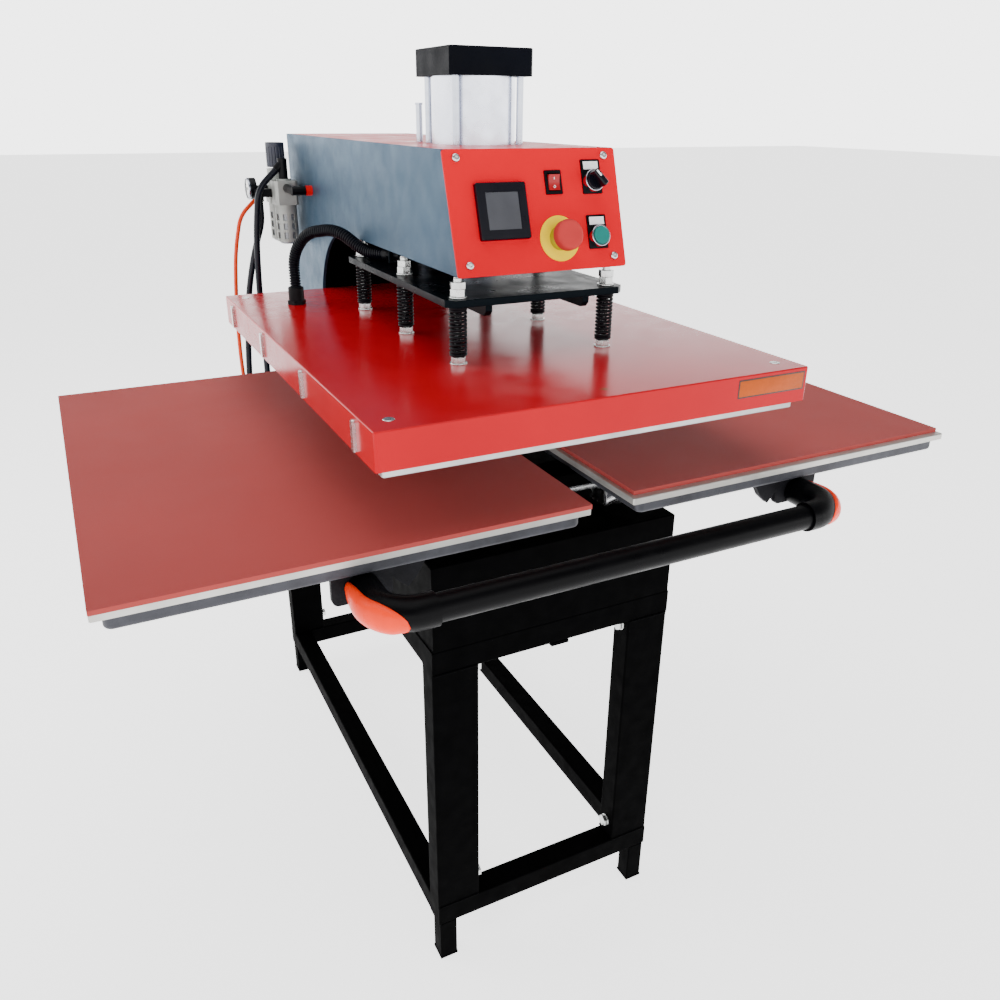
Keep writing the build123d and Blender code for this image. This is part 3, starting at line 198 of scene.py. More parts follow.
def surface(name, colour, rough, metal=0, coat=0, vary=0.12, patch=9, grain=900, depth=0.00004,
            rough_vary=0.08, stretch=(1, 1, 1), speckle=0.0, shine=0.5, tint=(1, 1, 1)):
    """A finish with soft patches in its colour and gloss, and a fine grain in its relief."""
    material = bpy.data.materials.new(name)
    material.use_nodes = True
    tree = material.node_tree
    shader = tree.nodes["Principled BSDF"]
    coords = tree.nodes.new("ShaderNodeTexCoord").outputs["Object"]
    patches = ranged(tree, noise(tree, coords, patch), 0, 1)
    tone = mixed(tree, patches, scaled(colour, 1 - vary), scaled(colour, 1 + vary))
    fine = noise(tree, coords, grain, 2, stretch)
    if speckle:
        spots = ranged(tree, fine, 0, speckle, 0.52, 0.7)
        blend = tree.nodes.new("ShaderNodeMix")
        blend.data_type = "RGBA"
        blend.inputs["B"].default_value = (*scaled(colour, 2.6), 1)
        tree.links.new(tone, blend.inputs["A"])
        tree.links.new(spots, blend.inputs["Factor"])
        tone = blend.outputs["Result"]
    tree.links.new(tone, shader.inputs["Base Color"])
    gloss = ranged(tree, noise(tree, coords, patch * 3), rough - rough_vary, rough + rough_vary)
    tree.links.new(gloss, shader.inputs["Roughness"])
    shader.inputs["Metallic"].default_value = metal
    shader.inputs["Coat Weight"].default_value = coat
    shader.inputs["Coat Roughness"].default_value = 0.08
    shader.inputs["Specular Tint"].default_value = (*tint, 1)
    shader.inputs["Specular IOR Level"].default_value = shine
    bump = tree.nodes.new("ShaderNodeBump")
    bump.inputs["Distance"].default_value = depth
    tree.links.new(fine, bump.inputs["Height"])
    tree.links.new(bump.outputs["Normal"], shader.inputs["Normal"])
    return material


def stained(material, centre, radius, colour):
    """Adds a soft round stain to a finish, at a place in the row frame."""
    tree = material.node_tree
    shader = tree.nodes["Principled BSDF"]
    base = shader.inputs["Base Color"].links[0].from_socket
    coords = tree.nodes.new("ShaderNodeTexCoord").outputs["Object"]
    distance = tree.nodes.new("ShaderNodeVectorMath")
    distance.operation = "DISTANCE"
    distance.inputs[1].default_value = centre
    tree.links.new(coords, distance.inputs[0])
    wobble = tree.nodes.new("ShaderNodeMath")
    wobble.operation = "MULTIPLY_ADD"
    wobble.inputs[1].default_value = radius * 0.8
    tree.links.new(noise(tree, coords, 140), wobble.inputs[0])
    tree.links.new(distance.outputs["Value"], wobble.inputs[2])
    amount = ranged(tree, wobble.outputs["Value"], 0.85, 0, radius * 0.7, radius * 1.5)
    blend = tree.nodes.new("ShaderNodeMix")
    blend.data_type = "RGBA"
    blend.inputs["B"].default_value = (*colour, 1)
    tree.links.new(base, blend.inputs["A"])
    tree.links.new(amount, blend.inputs["Factor"])
    tree.links.new(blend.outputs["Result"], shader.inputs["Base Color"])
    return material


RED = (0.42, 0.0, 0.006)
PANEL_RED = (0.60, 0.0, 0.010)
SILICONE = (0.34, 0.05, 0.045)

cover_red = surface("cover_red", RED, 0.2, vary=0.05, grain=500, depth=0.00006, rough_vary=0.05,
                    shine=0.4, tint=(1, 0.25, 0.3))
stained(cover_red, at(0, -383, COVER_TOP), 7 * MM, (0.16, 0.05, 0.01))
panel_red = surface("panel_red", PANEL_RED, 0.5, vary=0.05, grain=1500, depth=0.00012, speckle=0.05,
                    shine=0.1, tint=(1, 0.25, 0.3))
top_red = surface("top_red", PANEL_RED, 0.35, vary=0.05, grain=1300, depth=0.0001, shine=0.4,
                  tint=(1, 0.4, 0.5))
side_black = surface("side_black", (0.018, 0.040, 0.066), 0.36, metal=0.35, vary=0.15, grain=1400,
                     depth=0.0002, speckle=0.3, shine=0.2, tint=(0.6, 0.8, 1))
stand_black = surface("stand_black", (0.0003, 0.0003, 0.0004), 0.7, vary=0.3, patch=14, grain=700,
                      depth=0.00008, shine=0.015)
plate_black = surface("plate_black", (0.001, 0.002, 0.003), 0.33, vary=0.25, grain=1100, depth=0.00012,
                      speckle=0.2, shine=0.05, tint=(0.6, 0.8, 1))
cap_black = surface("cap_black", (0.0005, 0.001, 0.003), 0.5, vary=0.25, grain=1600, depth=0.0002,
                    speckle=0.3, shine=0.04)
silicone = surface("silicone", SILICONE, 0.6, vary=0.04, patch=5, grain=2200, depth=0.0001,
                   rough_vary=0.02, speckle=0.08, shine=0.1)
plate_light = surface("plate_light", (0.50, 0.49, 0.46), 0.42, metal=0.75, vary=0.12, patch=20, grain=260,
                      depth=0.0001, stretch=(1, 1, 8))
cast_grey = surface("cast_grey", (0.045, 0.046, 0.055), 0.5, metal=0.35, vary=0.3, patch=26, grain=420,
                    depth=0.0004, shine=0.3)
bracket_grey = surface("bracket_grey", (0.006, 0.006, 0.008), 0.6, metal=0.2, vary=0.35, patch=60,
                       grain=500, depth=0.0004, shine=0.1)
heat_grey = surface("heat_grey", (0.46, 0.46, 0.46), 0.38, metal=0.8, vary=0.2, patch=18, grain=300,
                    depth=0.0001)
zinc = surface("zinc", (0.62, 0.63, 0.62), 0.25, metal=1, vary=0.12, patch=90, grain=800, depth=0.00005)
steel = surface("steel", (0.55, 0.55, 0.56), 0.22, metal=1, vary=0.1, patch=30, grain=700,
                stretch=(1, 1, 9))
barrel_silver = surface("barrel_silver", (0.66, 0.68, 0.76), 0.25, metal=1, vary=0.06, patch=14,
                        grain=900, depth=0.00003, stretch=(1, 1, 0.06))
chrome = surface("chrome", (0.42, 0.44, 0.50), 0.12, metal=1, vary=0.05, patch=40)
black_plastic = surface("black_plastic", (0.001, 0.001, 0.002), 0.36, vary=0.2, grain=1500,
                        depth=0.00006, shine=0.12)
navy_plastic = surface("navy_plastic", (0.001, 0.001, 0.004), 0.3, vary=0.15, grain=1500,
                       depth=0.00003, shine=0.2)
soft_black = surface("soft_black", (0.0006, 0.0006, 0.001), 0.34, vary=0.2, grain=1100, depth=0.00015,
                     shine=0.07)
rubber = surface("rubber", (0.015, 0.015, 0.015), 0.7, vary=0.25, grain=800, depth=0.0002)
spring_black = surface("spring_black", (0.0015, 0.0015, 0.003), 0.4, vary=0.2, patch=60, shine=0.12)
conduit_black = surface("conduit_black", (0.001, 0.0015, 0.004), 0.34, vary=0.2, grain=1300,
                        depth=0.00005, shine=0.12)
tube_navy = surface("tube_navy", (0.001, 0.0015, 0.006), 0.3, vary=0.15, patch=30, shine=0.2)
tube_orange = surface("tube_orange", (0.62, 0.035, 0.0), 0.35, vary=0.08, patch=30, shine=0.25)
cap_orange = surface("cap_orange", (0.90, 0.035, 0.0), 0.3, vary=0.07, patch=30, grain=900, shine=0.15)
screen_grey = surface("screen_grey", (0.03, 0.032, 0.04), 0.4, coat=0.1, vary=0.15, patch=25,
                      grain=3000, depth=0.00002, speckle=0.2)
rocker_red = surface("rocker_red", (0.30, 0.0, 0.004), 0.38, coat=0.1, vary=0.15, patch=60, shine=0.3)
mushroom_red = surface("mushroom_red", (0.42, 0.03, 0.03), 0.6, vary=0.08, patch=40, grain=1800,
                       shine=0.1)
disc_yellow = surface("disc_yellow", (0.85, 0.60, 0.0), 0.5, vary=0.06, patch=50, grain=1200, shine=0.05)
button_green = surface("button_green", (0.004, 0.15, 0.13), 0.4, vary=0.08, patch=50, grain=1500,
                       shine=0.2)
label_white = surface("label_white", (0.80, 0.78, 0.80), 0.45, vary=0.06, patch=200)
white_ink = surface("white_ink", (0.85, 0.85, 0.85), 0.5, vary=0.04, patch=200)
label_orange = surface("label_orange", (0.42, 0.07, 0.004), 0.5, vary=0.08, patch=120, shine=0.15)
ink_black = surface("ink_black", (0.02, 0.015, 0.012), 0.5, vary=0.2, patch=120)
unit_grey = surface("unit_grey", (0.30, 0.31, 0.29), 0.42, metal=0.2, vary=0.12, patch=50, grain=900)
bowl_grey = surface("bowl_grey", (0.22, 0.23, 0.245), 0.25, metal=0.3, coat=0.3, vary=0.14, patch=60)
knob_navy = surface("knob_navy", (0.012, 0.014, 0.030), 0.45, vary=0.2, patch=60, grain=1500)
ring_red = surface("ring_red", (0.60, 0.0, 0.003), 0.3, vary=0.05, patch=90, shine=0.2)
board_beige = surface("board_beige", (0.42, 0.36, 0.26), 0.8, vary=0.15, patch=30, grain=400,
                      depth=0.0004)
gauge_glass = surface("gauge_glass", (0.75, 0.76, 0.76), 0.12, coat=0.6, vary=0.06, patch=80)
floor_white = surface("floor_white", (0.8, 0.8, 0.8), 0.8, vary=0.02, patch=2, grain=60, depth=0.0001,
                      shine=0.1)

PLAIN_NODES = {
    "stand_feet": stand_black, "stand_rings": stand_black, "stand_legs": stand_black,
    "base_box": stand_black, "frame_bolts": zinc, "carriages": steel, "side_plates": side_black,
    # column_covers are black, but take the darkest, almost unreflective stand finish as painted shade for
    # the shaded hollow under the arm
    "column_covers": stand_black, "top_cover": top_red, "front_panel": panel_red,
    "mount_plate": plate_black, "cylinder_barrel": barrel_silver, "tie_rods": chrome,
    "cable_glands": black_plastic, "controller_case": navy_plastic, "controller_screen": screen_grey,
    "rocker_bezel": black_plastic, "estop_disc": disc_yellow, "control_bezels": chrome,
    "air_unit_body": unit_grey, "air_gauge": black_plastic, "air_tubes": tube_navy,
    "supply_tube": tube_orange, "guide_rails": steel, "cross_beams": stand_black,
    "stop_bumpers": rubber, "table_blocks": cast_grey, "table_plates": plate_light, "pads": silicone,
    "handle_bar": soft_black, "handle_elbows": soft_black, "handle_brackets": bracket_grey,
    "heat_plate": heat_grey, "heater_rods": steel, "insulation_board": board_beige,
    "backing_plate": zinc, "platen_cover": cover_red, "cover_screws": zinc, "skirt_straps": zinc,
    "stud_nuts": zinc, "conduit_gland": black_plastic, "press_plate": plate_black, "piston": chrome,
    "guide_rods": chrome, "rocker": rocker_red, "selector_knob": navy_plastic,
    "start_button": button_green, "estop_stem": zinc, "estop_mushroom": mushroom_red,
    "regulator_knob": knob_navy,
}


def dress(node, *materials):
    """Gives a CAD node its own materials, the first of them on every face."""
    mesh = frame["nodes"][node].data
    mesh.materials.clear()
    for material in materials:
        mesh.materials.append(material)
    for face in mesh.polygons:
        face.material_index = 0
    return mesh


def dress_where(node, base, *others):
    """Gives a node a base material, and further ones to the faces that each test picks."""
    mesh = dress(node, base, *[material for material, _ in others])
    for face in mesh.polygons:
        for index, (_, test) in enumerate(others, start=1):
            if test(face.center):
                face.material_index = index


def dress_nodes():
    for node, material in PLAIN_NODES.items():
        dress(node, material)
    head_low = at(0, 0, TOP_HEAD_LOW).z
    dress_where("cylinder_heads", plate_black, (cap_black, lambda c: c.z > head_low))
    dress_where("label_plates", black_plastic, (label_white, is_insert))
    dress_where("air_bowls", unit_grey, (bowl_grey, lambda c: bowl_distance(c) < BOWL_R * MM))
    elbow = at(ELBOW_RING_X, ELBOW_FRONT, ELBOW_LOW)
    manifold = at(MANIFOLD_LEFT, 0, MANIFOLD_TOP)
    dress_where(
        "air_fittings", black_plastic,
        (ring_red, lambda c: c.x > elbow.x and c.y > elbow.y and c.z > elbow.z),
        (plate_light, lambda c: c.z < manifold.z and c.x > manifold.x),
    )
    relay_rear = at(0, RELAY_REAR, 0).y
    dress_where("column_electrics", zinc, (black_plastic, lambda c: c.y < relay_rear))


def out_of_panel(point):
    """Distance of a point in front of the panel's face."""
    normal = Vector((0, -math.cos(TILT), math.sin(TILT)))
    return (point - at(0, *PANEL_TOP)).dot(normal)


def is_insert(point):
    """True on the upper face of a label insert, which lies below the holder's rim."""
    if not INSERT_OUT[0] * MM < out_of_panel(point) < INSERT_OUT[1] * MM:
        return False
    for x, down in (SELECTOR_AT, START_AT):
        local = panel_matrix(x, down).inverted() @ point
        if abs(local.x) < INSERT_HALF * MM and INSERT_UP[0] * MM < local.y < INSERT_UP[1] * MM:
            return True
    return False


def bowl_distance(point):
    """Distance from the nearer bowl's axis."""
    return min((point.xy - at(AIR_UNIT_X, y, 0).xy).length for y in BOWL_YS)


# ---------------------------------------------------------------- mesh helpers
def new_piece(name, vertices, faces, material, smooth=True):
    mesh = bpy.data.meshes.new(name)
    mesh.from_pydata([tuple(v) for v in vertices], [], faces)
    mesh.materials.append(material)
    for face in mesh.polygons:
        face.use_smooth = smooth
    mesh.update()
    piece = bpy.data.objects.new(name, mesh)
    bpy.context.scene.collection.objects.link(piece)
    return piece


def join_meshes(parts):
    """Vertices and faces of several (vertices, faces) pairs as one."""
    vertices, faces = [], []
    for part_vertices, part_faces in parts:
        offset = len(vertices)
        vertices += part_vertices
        faces += [tuple(index + offset for index in face) for face in part_faces]
    return vertices, faces


def swept(points, radii, sides=16):
    """A round tube along points, with a radius at each, turning as little as it can."""
    vertices, faces = [], []
    count = len(points)
    tangent = (points[1] - points[0]).normalized()
    side = tangent.orthogonal().normalized()
    for index, point in enumerate(points):
        ahead = points[min(index + 1, count - 1)] - points[max(index - 1, 0)]
        new_tangent = ahead.normalized()
        side = tangent.rotation_difference(new_tangent) @ side
        side = (side - side.dot(new_tangent) * new_tangent).normalized()
        tangent = new_tangent
        other = tangent.cross(side)
        for step in range(sides):
            angle = 2 * math.pi * step / sides
            vertices.append(point + radii[index] * (math.cos(angle) * side + math.sin(angle) * other))
    for ring in range(count - 1):
        for step in range(sides):
            a = ring * sides + step
            b = ring * sides + (step + 1) % sides
            faces.append((a, b, b + sides, a + sides))
    faces.append(tuple(reversed(range(sides))))
    faces.append(tuple(range((count - 1) * sides, count * sides)))
    return vertices, faces


def lathed(profile, matrix, sides=32):
    """A profile of (radius, height) turned about the z axis of a matrix."""
    vertices, faces = [], []
    for radius, height in profile:
        for step in range(sides):
            angle = 2 * math.pi * step / sides
            spot = Vector((radius * math.cos(angle), radius * math.sin(angle), height))
            vertices.append(matrix @ (spot * MM))
    for ring in range(len(profile) - 1):
        for step in range(sides):
            a = ring * sides + step
            b = ring * sides + (step + 1) % sides
            faces.append((a, b, b + sides, a + sides))
    faces.append(tuple(reversed(range(sides))))
    faces.append(tuple(range((len(profile) - 1) * sides, len(profile) * sides)))
    return vertices, faces


def slab(matrix, x0, x1, y0, y1, z0, z1, edge=0.3):
    """A flat block with a small chamfer round its top."""
    def ring(inset, z):
        left, right, near, far = x0 + inset, x1 - inset, y0 + inset, y1 - inset
        corners = ((left, near), (right, near), (right, far), (left, far))
        return [matrix @ (Vector((x, y, z)) * MM) for x, y in corners]

    vertices = ring(0, z0) + ring(0, z1 - edge) + ring(edge, z1)
    faces = [(3, 2, 1, 0), (8, 9, 10, 11)]
    for level in (0, 4):
        for step in range(4):
            a, b = level + step, level + (step + 1) % 4
            faces.append((a, b, b + 4, a + 4))
    return vertices, faces


def panel_matrix(x, down, out=0, turn=0):
    """Places a piece on the panel: x across it, y up it, z out of it."""
    across = Vector((1, 0, 0))
    up = Vector((0, math.sin(TILT), math.cos(TILT)))
    normal = Vector((0, -math.cos(TILT), math.sin(TILT)))
    origin = at(0, *PANEL_TOP) + (x * across - down * up + out * normal) * MM
    rotation = Matrix((across, up, normal)).transposed().to_4x4()
    return Matrix.Translation(origin) @ rotation @ Matrix.Rotation(turn, 4, "Z")


def upright(x, y, z):
    return Matrix.Translation(at(x, y, z))


def rounded_route(corners, step):
    """Points along straight runs joined by tangent arcs, each using 0.45 of the shorter run."""
    places = [at(*corner) for corner in corners]
    route = [places[0]]
    for before, here, after in zip(places, places[1:], places[2:]):
        run_in, run_out = (here - before), (after - here)
        turn = run_in.angle(run_out)
        cut = 0.45 * min(run_in.length, run_out.length)
        radius = cut / math.tan(turn / 2)
        start, end = here - run_in.normalized() * cut, here + run_out.normalized() * cut
        bisector = (run_out.normalized() - run_in.normalized()).normalized()
        centre = here + bisector * (radius / math.cos(turn / 2))
        first, last = (start - centre).normalized(), (end - centre).normalized()
        pieces = max(2, int(radius * turn / step))
        route += [centre + radius * first.slerp(last, index / pieces) for index in range(pieces + 1)]
    route.append(places[-1])
    return evenly(route, step)


def evenly(route, step):
    """The same route with points an equal distance apart."""
    total = sum((b - a).length for a, b in zip(route, route[1:]))
    count = max(2, round(total / step))
    spacing, result = total / count, [route[0]]
    wanted, walked = spacing, 0.0
    for a, b in zip(route, route[1:]):
        length = (b - a).length
        while wanted <= walked + length + 1e-9 and len(result) < count:
            result.append(a.lerp(b, (wanted - walked) / length))
            wanted += spacing
        walked += length
    result.append(route[-1])
    return result


# ---------------------------------------------------------------- softened edges on CAD nodes
ROUNDED = {
    "side_plates": 0.8, "top_cover": 0.5, "front_panel": 0.6, "press_plate": 0.7,
    "handle_brackets": 1.0, "cylinder_heads": 0.8, "stud_nuts": 0.5, "frame_bolts": 0.5,
    "air_unit_body": 1.0, "column_covers": 0.4, "pads": 0.7, "table_plates": 0.5, "heat_plate": 0.8,
    "carriages": 0.6, "guide_rails": 0.5, "air_fittings": 0.6, "rocker_bezel": 0.3, "rocker": 0.5,
    "label_plates": 0.2, "controller_case": 0.4, "air_bowls": 0.5, "stop_bumpers": 1.0,
    "estop_disc": 0.3, "control_bezels": 0.3, "selector_knob": 0.5, "tie_rods": 0.4, "guide_rods": 0.4,
    "column_electrics": 1.0, "mount_plate": 0.8, "cable_glands": 0.4, "conduit_gland": 0.5,
}


def soften_edges():
    for node, width in ROUNDED.items():
        piece = frame["nodes"][node]
        weld = piece.modifiers.new("weld", "WELD")
        weld.merge_threshold = 0.00001
        bevel = piece.modifiers.new("bevel", "BEVEL")
        bevel.width = width * MM
        bevel.segments = 2
        bevel.limit_method = "ANGLE"
        bevel.angle_limit = math.radians(40)
        bevel.use_clamp_overlap = True
        piece.modifiers.new("normals", "WEIGHTED_NORMAL")


# ---------------------------------------------------------------- pieces of the platen and press
def stud_places():
    return [(side * STUD_X, y) for side in (-1, 1) for y in STUD_YS]


def coil(x, y):
    """Points of one compression spring, with a closed turn at each end."""
    low, high = SPRING_BOTTOM + SPRING_WIRE_R, SPRING_TOP - SPRING_WIRE_R
    free_turns = SPRING_TURNS - 2
    count = SPRING_TURNS * 20
    points = []
    for index in range(count + 1):
        done = index / count * SPRING_TURNS
        free = min(max(done - 1, 0), free_turns)
        closed = min(done, 1) + max(done - SPRING_TURNS + 1, 0)
        height = low + SPRING_WIRE_R * closed + (high - low - 2 * SPRING_WIRE_R) * free / free_turns
        angle = 2 * math.pi * done
        spot = at(x + SPRING_COIL_R * math.cos(angle), y + SPRING_COIL_R * math.sin(angle), height)
        points.append(spot)
    return swept(points, [SPRING_WIRE_R * MM] * len(points), 8)


def springs():
    piece = new_piece("spring_coils", *join_meshes([coil(x, y) for x, y in stud_places()]), spring_black)
    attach(piece, "platen")
    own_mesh(piece)
    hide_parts("springs")


def threaded_studs():
    """Studs with rings of thread from the backing plate to their chamfered tops."""
    pitch = 1.75
    profile = [(STUD_R - 0.6, STUD_BOTTOM)]
    height = STUD_BOTTOM
    while height < STUD_TOP - 3:
        profile += [(STUD_R - 0.1, height + 0.45 * pitch), (STUD_R - 0.9, height + 0.95 * pitch)]
        height += pitch
    profile += [(STUD_R - 0.2, STUD_TOP - 2), (STUD_R - 1.6, STUD_TOP)]
    parts = [lathed(profile, upright(x, y, 0), 20) for x, y in stud_places()]
    piece = new_piece("threaded_studs", *join_meshes(parts), zinc)
    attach(piece, "platen")
    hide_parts("spring_studs")


def conduit_place(along, z):
    """A point of the upright plane through both glands, this far from the platen's gland."""
    share = along / GLAND_SPAN
    x = GLAND[0] + share * (ARM_GLAND[0] - GLAND[0])
    y = GLAND[1] + share * (ARM_GLAND[1] - GLAND[1])
    return x, y, z


def conduit():
    """Corrugated conduit that arches from the platen's gland to the gland under the arm."""
    end = GLAND_SPAN - ARM_GLAND_DEPTH
    corners = [(0, GLAND[2]), *CONDUIT_BENDS, (end, ARM_GLAND[2])]
    rib_pitch = 4.6
    rib = (9.9, 9.9, 9.9, 9.4, 7.9, 7.5, 7.9, 9.4)
    places = [conduit_place(along, z) for along, z in corners]
    points = rounded_route(places, rib_pitch / len(rib) * MM)
    radii = [rib[index % len(rib)] * MM for index in range(len(points))]
    piece = new_piece("corrugated_conduit", *swept(points, radii, 24), conduit_black)
    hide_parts("conduit")
    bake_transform(piece)


def warning_label():
    """Blank orange label with a black border, at the right end of the front skirt."""
    face = Matrix.Translation(at(0, SKIRT_FRONT, 0)) @ Matrix.Rotation(math.radians(90), 4, "X")
    left, right = LABEL_ENDS
    low, high = LABEL_EDGES
    edge = LABEL_BORDER
    back = slab(face, left, right, low, high, -0.05, 0.35, 0.1)
    front = slab(face, left + edge, right - edge, low + edge, high - edge, 0.3, 0.5, 0.1)
    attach(new_piece("label_back", *back, ink_black), "platen")
    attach(new_piece("label_front", *front, label_orange), "platen")


# ---------------------------------------------------------------- handle
def cap_width(u):
    """Half-angle that the cap covers: round at the bar's end, then narrowing like a leaf."""
    if u < CAP_ROUND:
        return math.radians(CAP_HALF) * math.sqrt(max(0, 1 - (1 - u / CAP_ROUND) ** 2))
    return math.radians(CAP_HALF - CAP_NARROWING * ((u - CAP_ROUND) / (1 - CAP_ROUND)) ** 1.5)


def handle_cap(side):
    """Leaf-shaped cover on the outside of one bend, thick in the middle, climbing towards the table."""
    arc = HANDLE_BEND * (math.pi / 2 - CAP_START)
    along, around = 40, 18
    outer, inner = [], []
    centre_x = SHUTTLE_REST + side * (HANDLE_ARM - HANDLE_BEND)
    centre_y = HANDLE_Y + HANDLE_BEND
    for i in range(along + 1):
        u = i / along
        s = u * (arc + CAP_TAIL)
        angle = CAP_START + min(s, arc) / HANDLE_BEND
        out = Vector((side * math.sin(angle), -math.cos(angle), 0))
        spot = Vector((centre_x, centre_y + max(0, s - arc), HANDLE_Z)) + HANDLE_BEND * out
        turned_up = math.radians(CAP_LOW + CAP_CLIMB * u ** 1.5)
        crown = CAP_CROWN * math.sin(math.pi * (0.1 + 0.85 * u)) ** 0.6
        for j in range(around + 1):
            v = -1 + 2 * j / around
            angle = turned_up + v * cap_width(u)
            ray = math.cos(angle) * out + Vector((0, 0, math.sin(angle)))
            swell = 0.4 + crown * math.sqrt(max(0.0, 1 - abs(v) ** 2.5)) * min(1, 6 * u)
            outer.append(at(*(spot + (SLEEVE_R + 0.1 + swell) * ray)))
            inner.append(at(*(spot + (SLEEVE_R + 0.02) * ray)))
    return outer + inner, shell_faces(along, around, len(outer))


def shell_faces(along, around, count):
    """Faces of a thin closed shell whose outer and inner skins are grids of the same size."""
    row = around + 1
    faces = []
    for i in range(along):
        for j in range(around):
            a = i * row + j
            faces.append((a, a + 1, a + 1 + row, a + row))
            faces.append((a + count, a + row + count, a + 1 + row + count, a + 1 + count))
        left, right = i * row, i * row + around
        faces.append((left, left + row, left + row + count, left + count))
        faces.append((right + row, right, right + count, right + row + count))
    for j in range(around):
        faces.append((j + 1, j, j + count, j + 1 + count))
        last = along * row + j
        faces.append((last, last + 1, last + 1 + count, last + count))
    return faces


def handle_caps():
    piece = new_piece("handle_cap_shells", *join_meshes([handle_cap(-1), handle_cap(1)]), cap_orange)
    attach(piece, "shuttle")
    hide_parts("handle_caps")


# ---------------------------------------------------------------- pieces on the panel
def selector_line():
    """White line along the upper half of the selector's grip."""
    place = panel_matrix(*SELECTOR_AT, SELECTOR_FACE, SELECTOR_REST)
    piece = new_piece("selector_line", *slab(place, -1.3, 1.3, 1.5, 11, -0.1, 0.35, 0.15), white_ink)
    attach(piece, "selector")


def rocker_marks():
    """On and off marks on the rocker's face."""
    place = panel_matrix(*ROCKER_AT) @ Matrix.Rotation(ROCKER_TILT, 4, "X")
    bar = slab(place, -0.5, 0.5, 3.6, 6.6, 3.6, 4.35, 0.1)
    ring_points = []
    for step in range(25):
        angle = 2 * math.pi * step / 24
        spot = Vector((1.5 * math.cos(angle), -5.4 + 1.5 * math.sin(angle), 4.2))
        ring_points.append(place @ (spot * MM))
    ring = swept(ring_points, [0.3 * MM] * len(ring_points), 6)
    piece = new_piece("rocker_marks", *join_meshes([bar, ring]), white_ink)
    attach(piece, "rocker_key")


def gauge_face():
    """Dial with ticks and a needle behind the gauge's bezel."""
    centre = at(AIR_UNIT_X - GAUGE_OUT, GAUGE_Y, GAUGE_Z)
    place = Matrix.Translation(centre) @ Matrix.Rotation(math.radians(-90), 4, "Y")
    dial = new_piece("gauge_dial", *lathed([(16.8, 0), (16.8, 0.4), (16.2, 0.6)], place), gauge_glass)
    marks = []
    for step in range(11):
        angle = math.radians(-135 + 27 * step)
        turned = place @ Matrix.Rotation(angle, 4, "Z")
        marks.append(slab(turned, -0.35, 0.35, 11.5, 14.5, 0.5, 0.8, 0.1))
    needle = place @ Matrix.Rotation(math.radians(40), 4, "Z")
    marks.append(slab(needle, -0.5, 0.5, -4, 12, 0.7, 1.0, 0.1))
    marks.append(lathed([(2.2, 0.5), (2.2, 1.1), (1.6, 1.3)], place, 16))
    ticks = new_piece("gauge_marks", *join_meshes(marks), ink_black)
    rim_profile = [(20.1, -3), (20.1, 0.9), (19.3, 1.4), (17.2, 1.4), (17.0, 0.2)]
    rim = new_piece("gauge_rim", *lathed(rim_profile, place), chrome)
    for piece in (dial, ticks, rim):
        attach(piece, "frame")


# ---------------------------------------------------------------- pieces of the stand
def bead(start, end, radius=2.6):
    """A lumpy weld bead from one place to another."""
    count = max(6, int((end - start).length / (2.2 * MM)))
    points = [start.lerp(end, index / count) for index in range(count + 1)]
    radii = [radius * MM * random.uniform(0.8, 1.1) for _ in points]
    radii[0] = radii[-1] = 0.6 * radius * MM
    return swept(points, radii, 8)


def weld_beads():
    """Beads round the legs' joints with the rings, and in the rings' inner corners."""
    beads = []
    for side in (-1, 1):
        inner = side * LEG_IN
        for y in STAND_ENDS:
            for z in LEG_SEAMS:
                beads.append(bead(at(side * LEG_OUT, y, z), at(inner, y, z)))
        for y in END_TUBES_IN:
            for z in LEG_SEAMS:
                beads.append(bead(at(side * (RING_IN - 1), y, z), at(inner, y, z)))
        corner = side * RING_IN
        for y in (END_TUBES_IN[0] - 1, END_TUBES_IN[1] + 1):
            for z in RING_BOTTOMS:
                beads.append(bead(at(corner, y, z + 2), at(corner, y, z + RING_TUBE - 2)))
    piece = new_piece("weld_beads", *join_meshes(beads), stand_black)
    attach(piece, "frame")


# ---------------------------------------------------------------- stage
def floor():
    bpy.ops.mesh.primitive_plane_add(size=60, location=(0, 0, 0))
    plane = bpy.context.object
    plane.name = "floor"
    shader = floor_white.node_tree.nodes["Principled BSDF"]
    shader.inputs["Emission Color"].default_value = (1, 1, 1, 1)
    shader.inputs["Emission Strength"].default_value = 2.2
    plane.data.materials.append(floor_white)


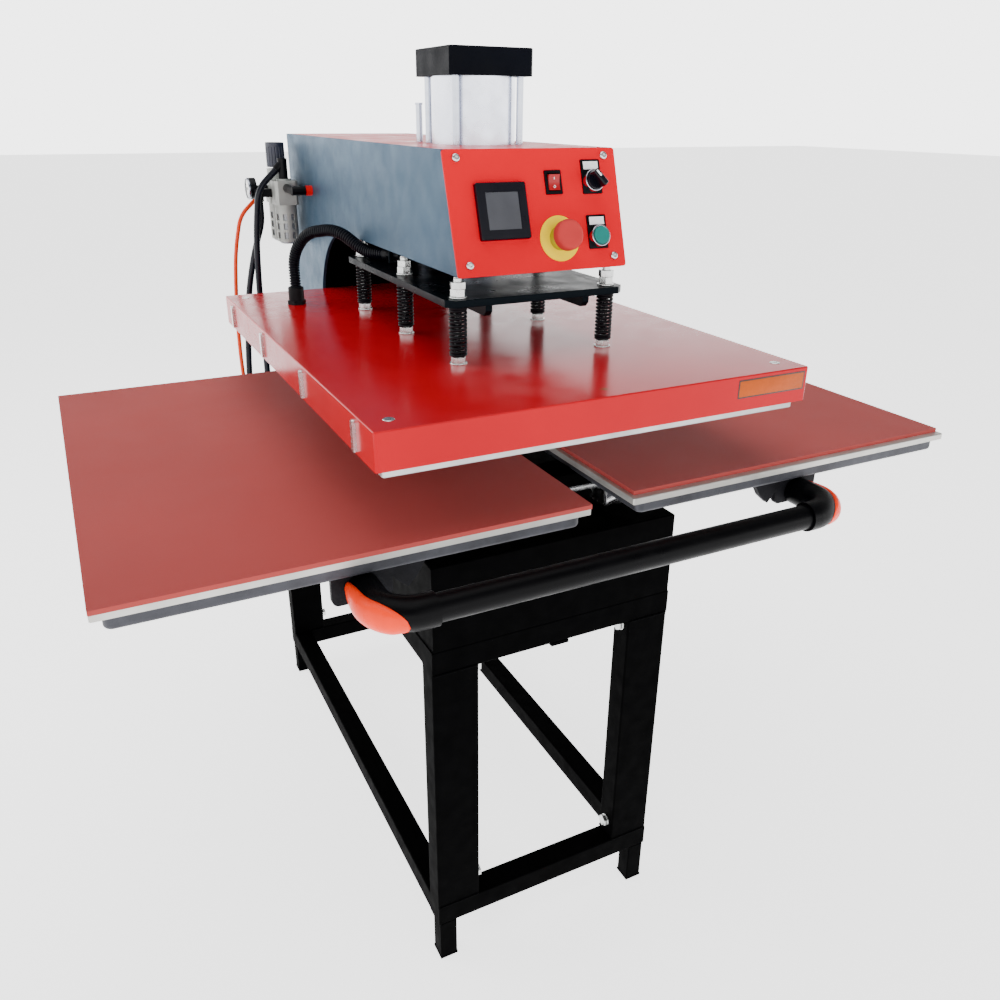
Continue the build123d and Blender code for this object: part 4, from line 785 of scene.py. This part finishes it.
def world():
    """Bright round the horizon, dimmer above it, as in a white studio."""
    sky = bpy.data.worlds.new("studio")
    bpy.context.scene.world = sky
    sky.use_nodes = True
    tree = sky.node_tree
    background = tree.nodes["Background"]
    background.inputs["Color"].default_value = (1, 1, 1, 1)
    coords = tree.nodes.new("ShaderNodeTexCoord")
    split = tree.nodes.new("ShaderNodeSeparateXYZ")
    tree.links.new(coords.outputs["Generated"], split.inputs["Vector"])
    strength = ranged(tree, split.outputs["Z"], low=4.2, high=0.3, start=0.12, end=0.34)
    tree.links.new(strength, background.inputs["Strength"])


def area_light(name, place, aim, size, power):
    data = bpy.data.lights.new(name, "AREA")
    data.shape = "RECTANGLE"
    data.size, data.size_y = size
    data.energy = power
    light = bpy.data.objects.new(name, data)
    light.location = place
    light.rotation_euler = (aim - place).to_track_quat("-Z", "Y").to_euler()
    bpy.context.scene.collection.objects.link(light)


def lights():
    aim = at(0, 0, 900)
    area_light("above", at(-300, -200, 4500), aim, (4, 4), 120)
    area_light("front", at(500, -3200, 2200), aim, (2, 1.4), 12)
    area_light("rear_left", at(-2600, 1800, 2600), aim, (2.4, 1.6), 60)


def camera():
    """Camera to the left of the machine's front, looking down at the platen."""
    yaw, pitch, roll = math.radians(26.906), math.radians(24.147), math.radians(0.515)
    forward = Vector((math.sin(yaw) * math.cos(pitch), math.cos(yaw) * math.cos(pitch), -math.sin(pitch)))
    right = Vector((math.cos(yaw), -math.sin(yaw), 0))
    up = right.cross(forward)
    across = right * math.cos(roll) + up * math.sin(roll)
    upward = up * math.cos(roll) - right * math.sin(roll)
    data = bpy.data.cameras.new("camera")
    data.sensor_width = 36
    data.lens = 0.86881 * data.sensor_width
    data.clip_end = 200
    view = bpy.data.objects.new("camera", data)
    rotation = Matrix((across, upward, -forward)).transposed().to_4x4()
    view.matrix_world = Matrix.Translation(at(-588.9, -1257.8, 1324.1)) @ rotation
    bpy.context.scene.collection.objects.link(view)
    bpy.context.scene.camera = view


dress_nodes()
soften_edges()
springs()
threaded_studs()
conduit()
warning_label()
handle_caps()
selector_line()
rocker_marks()
gauge_face()
weld_beads()
floor()
world()
lights()
camera()
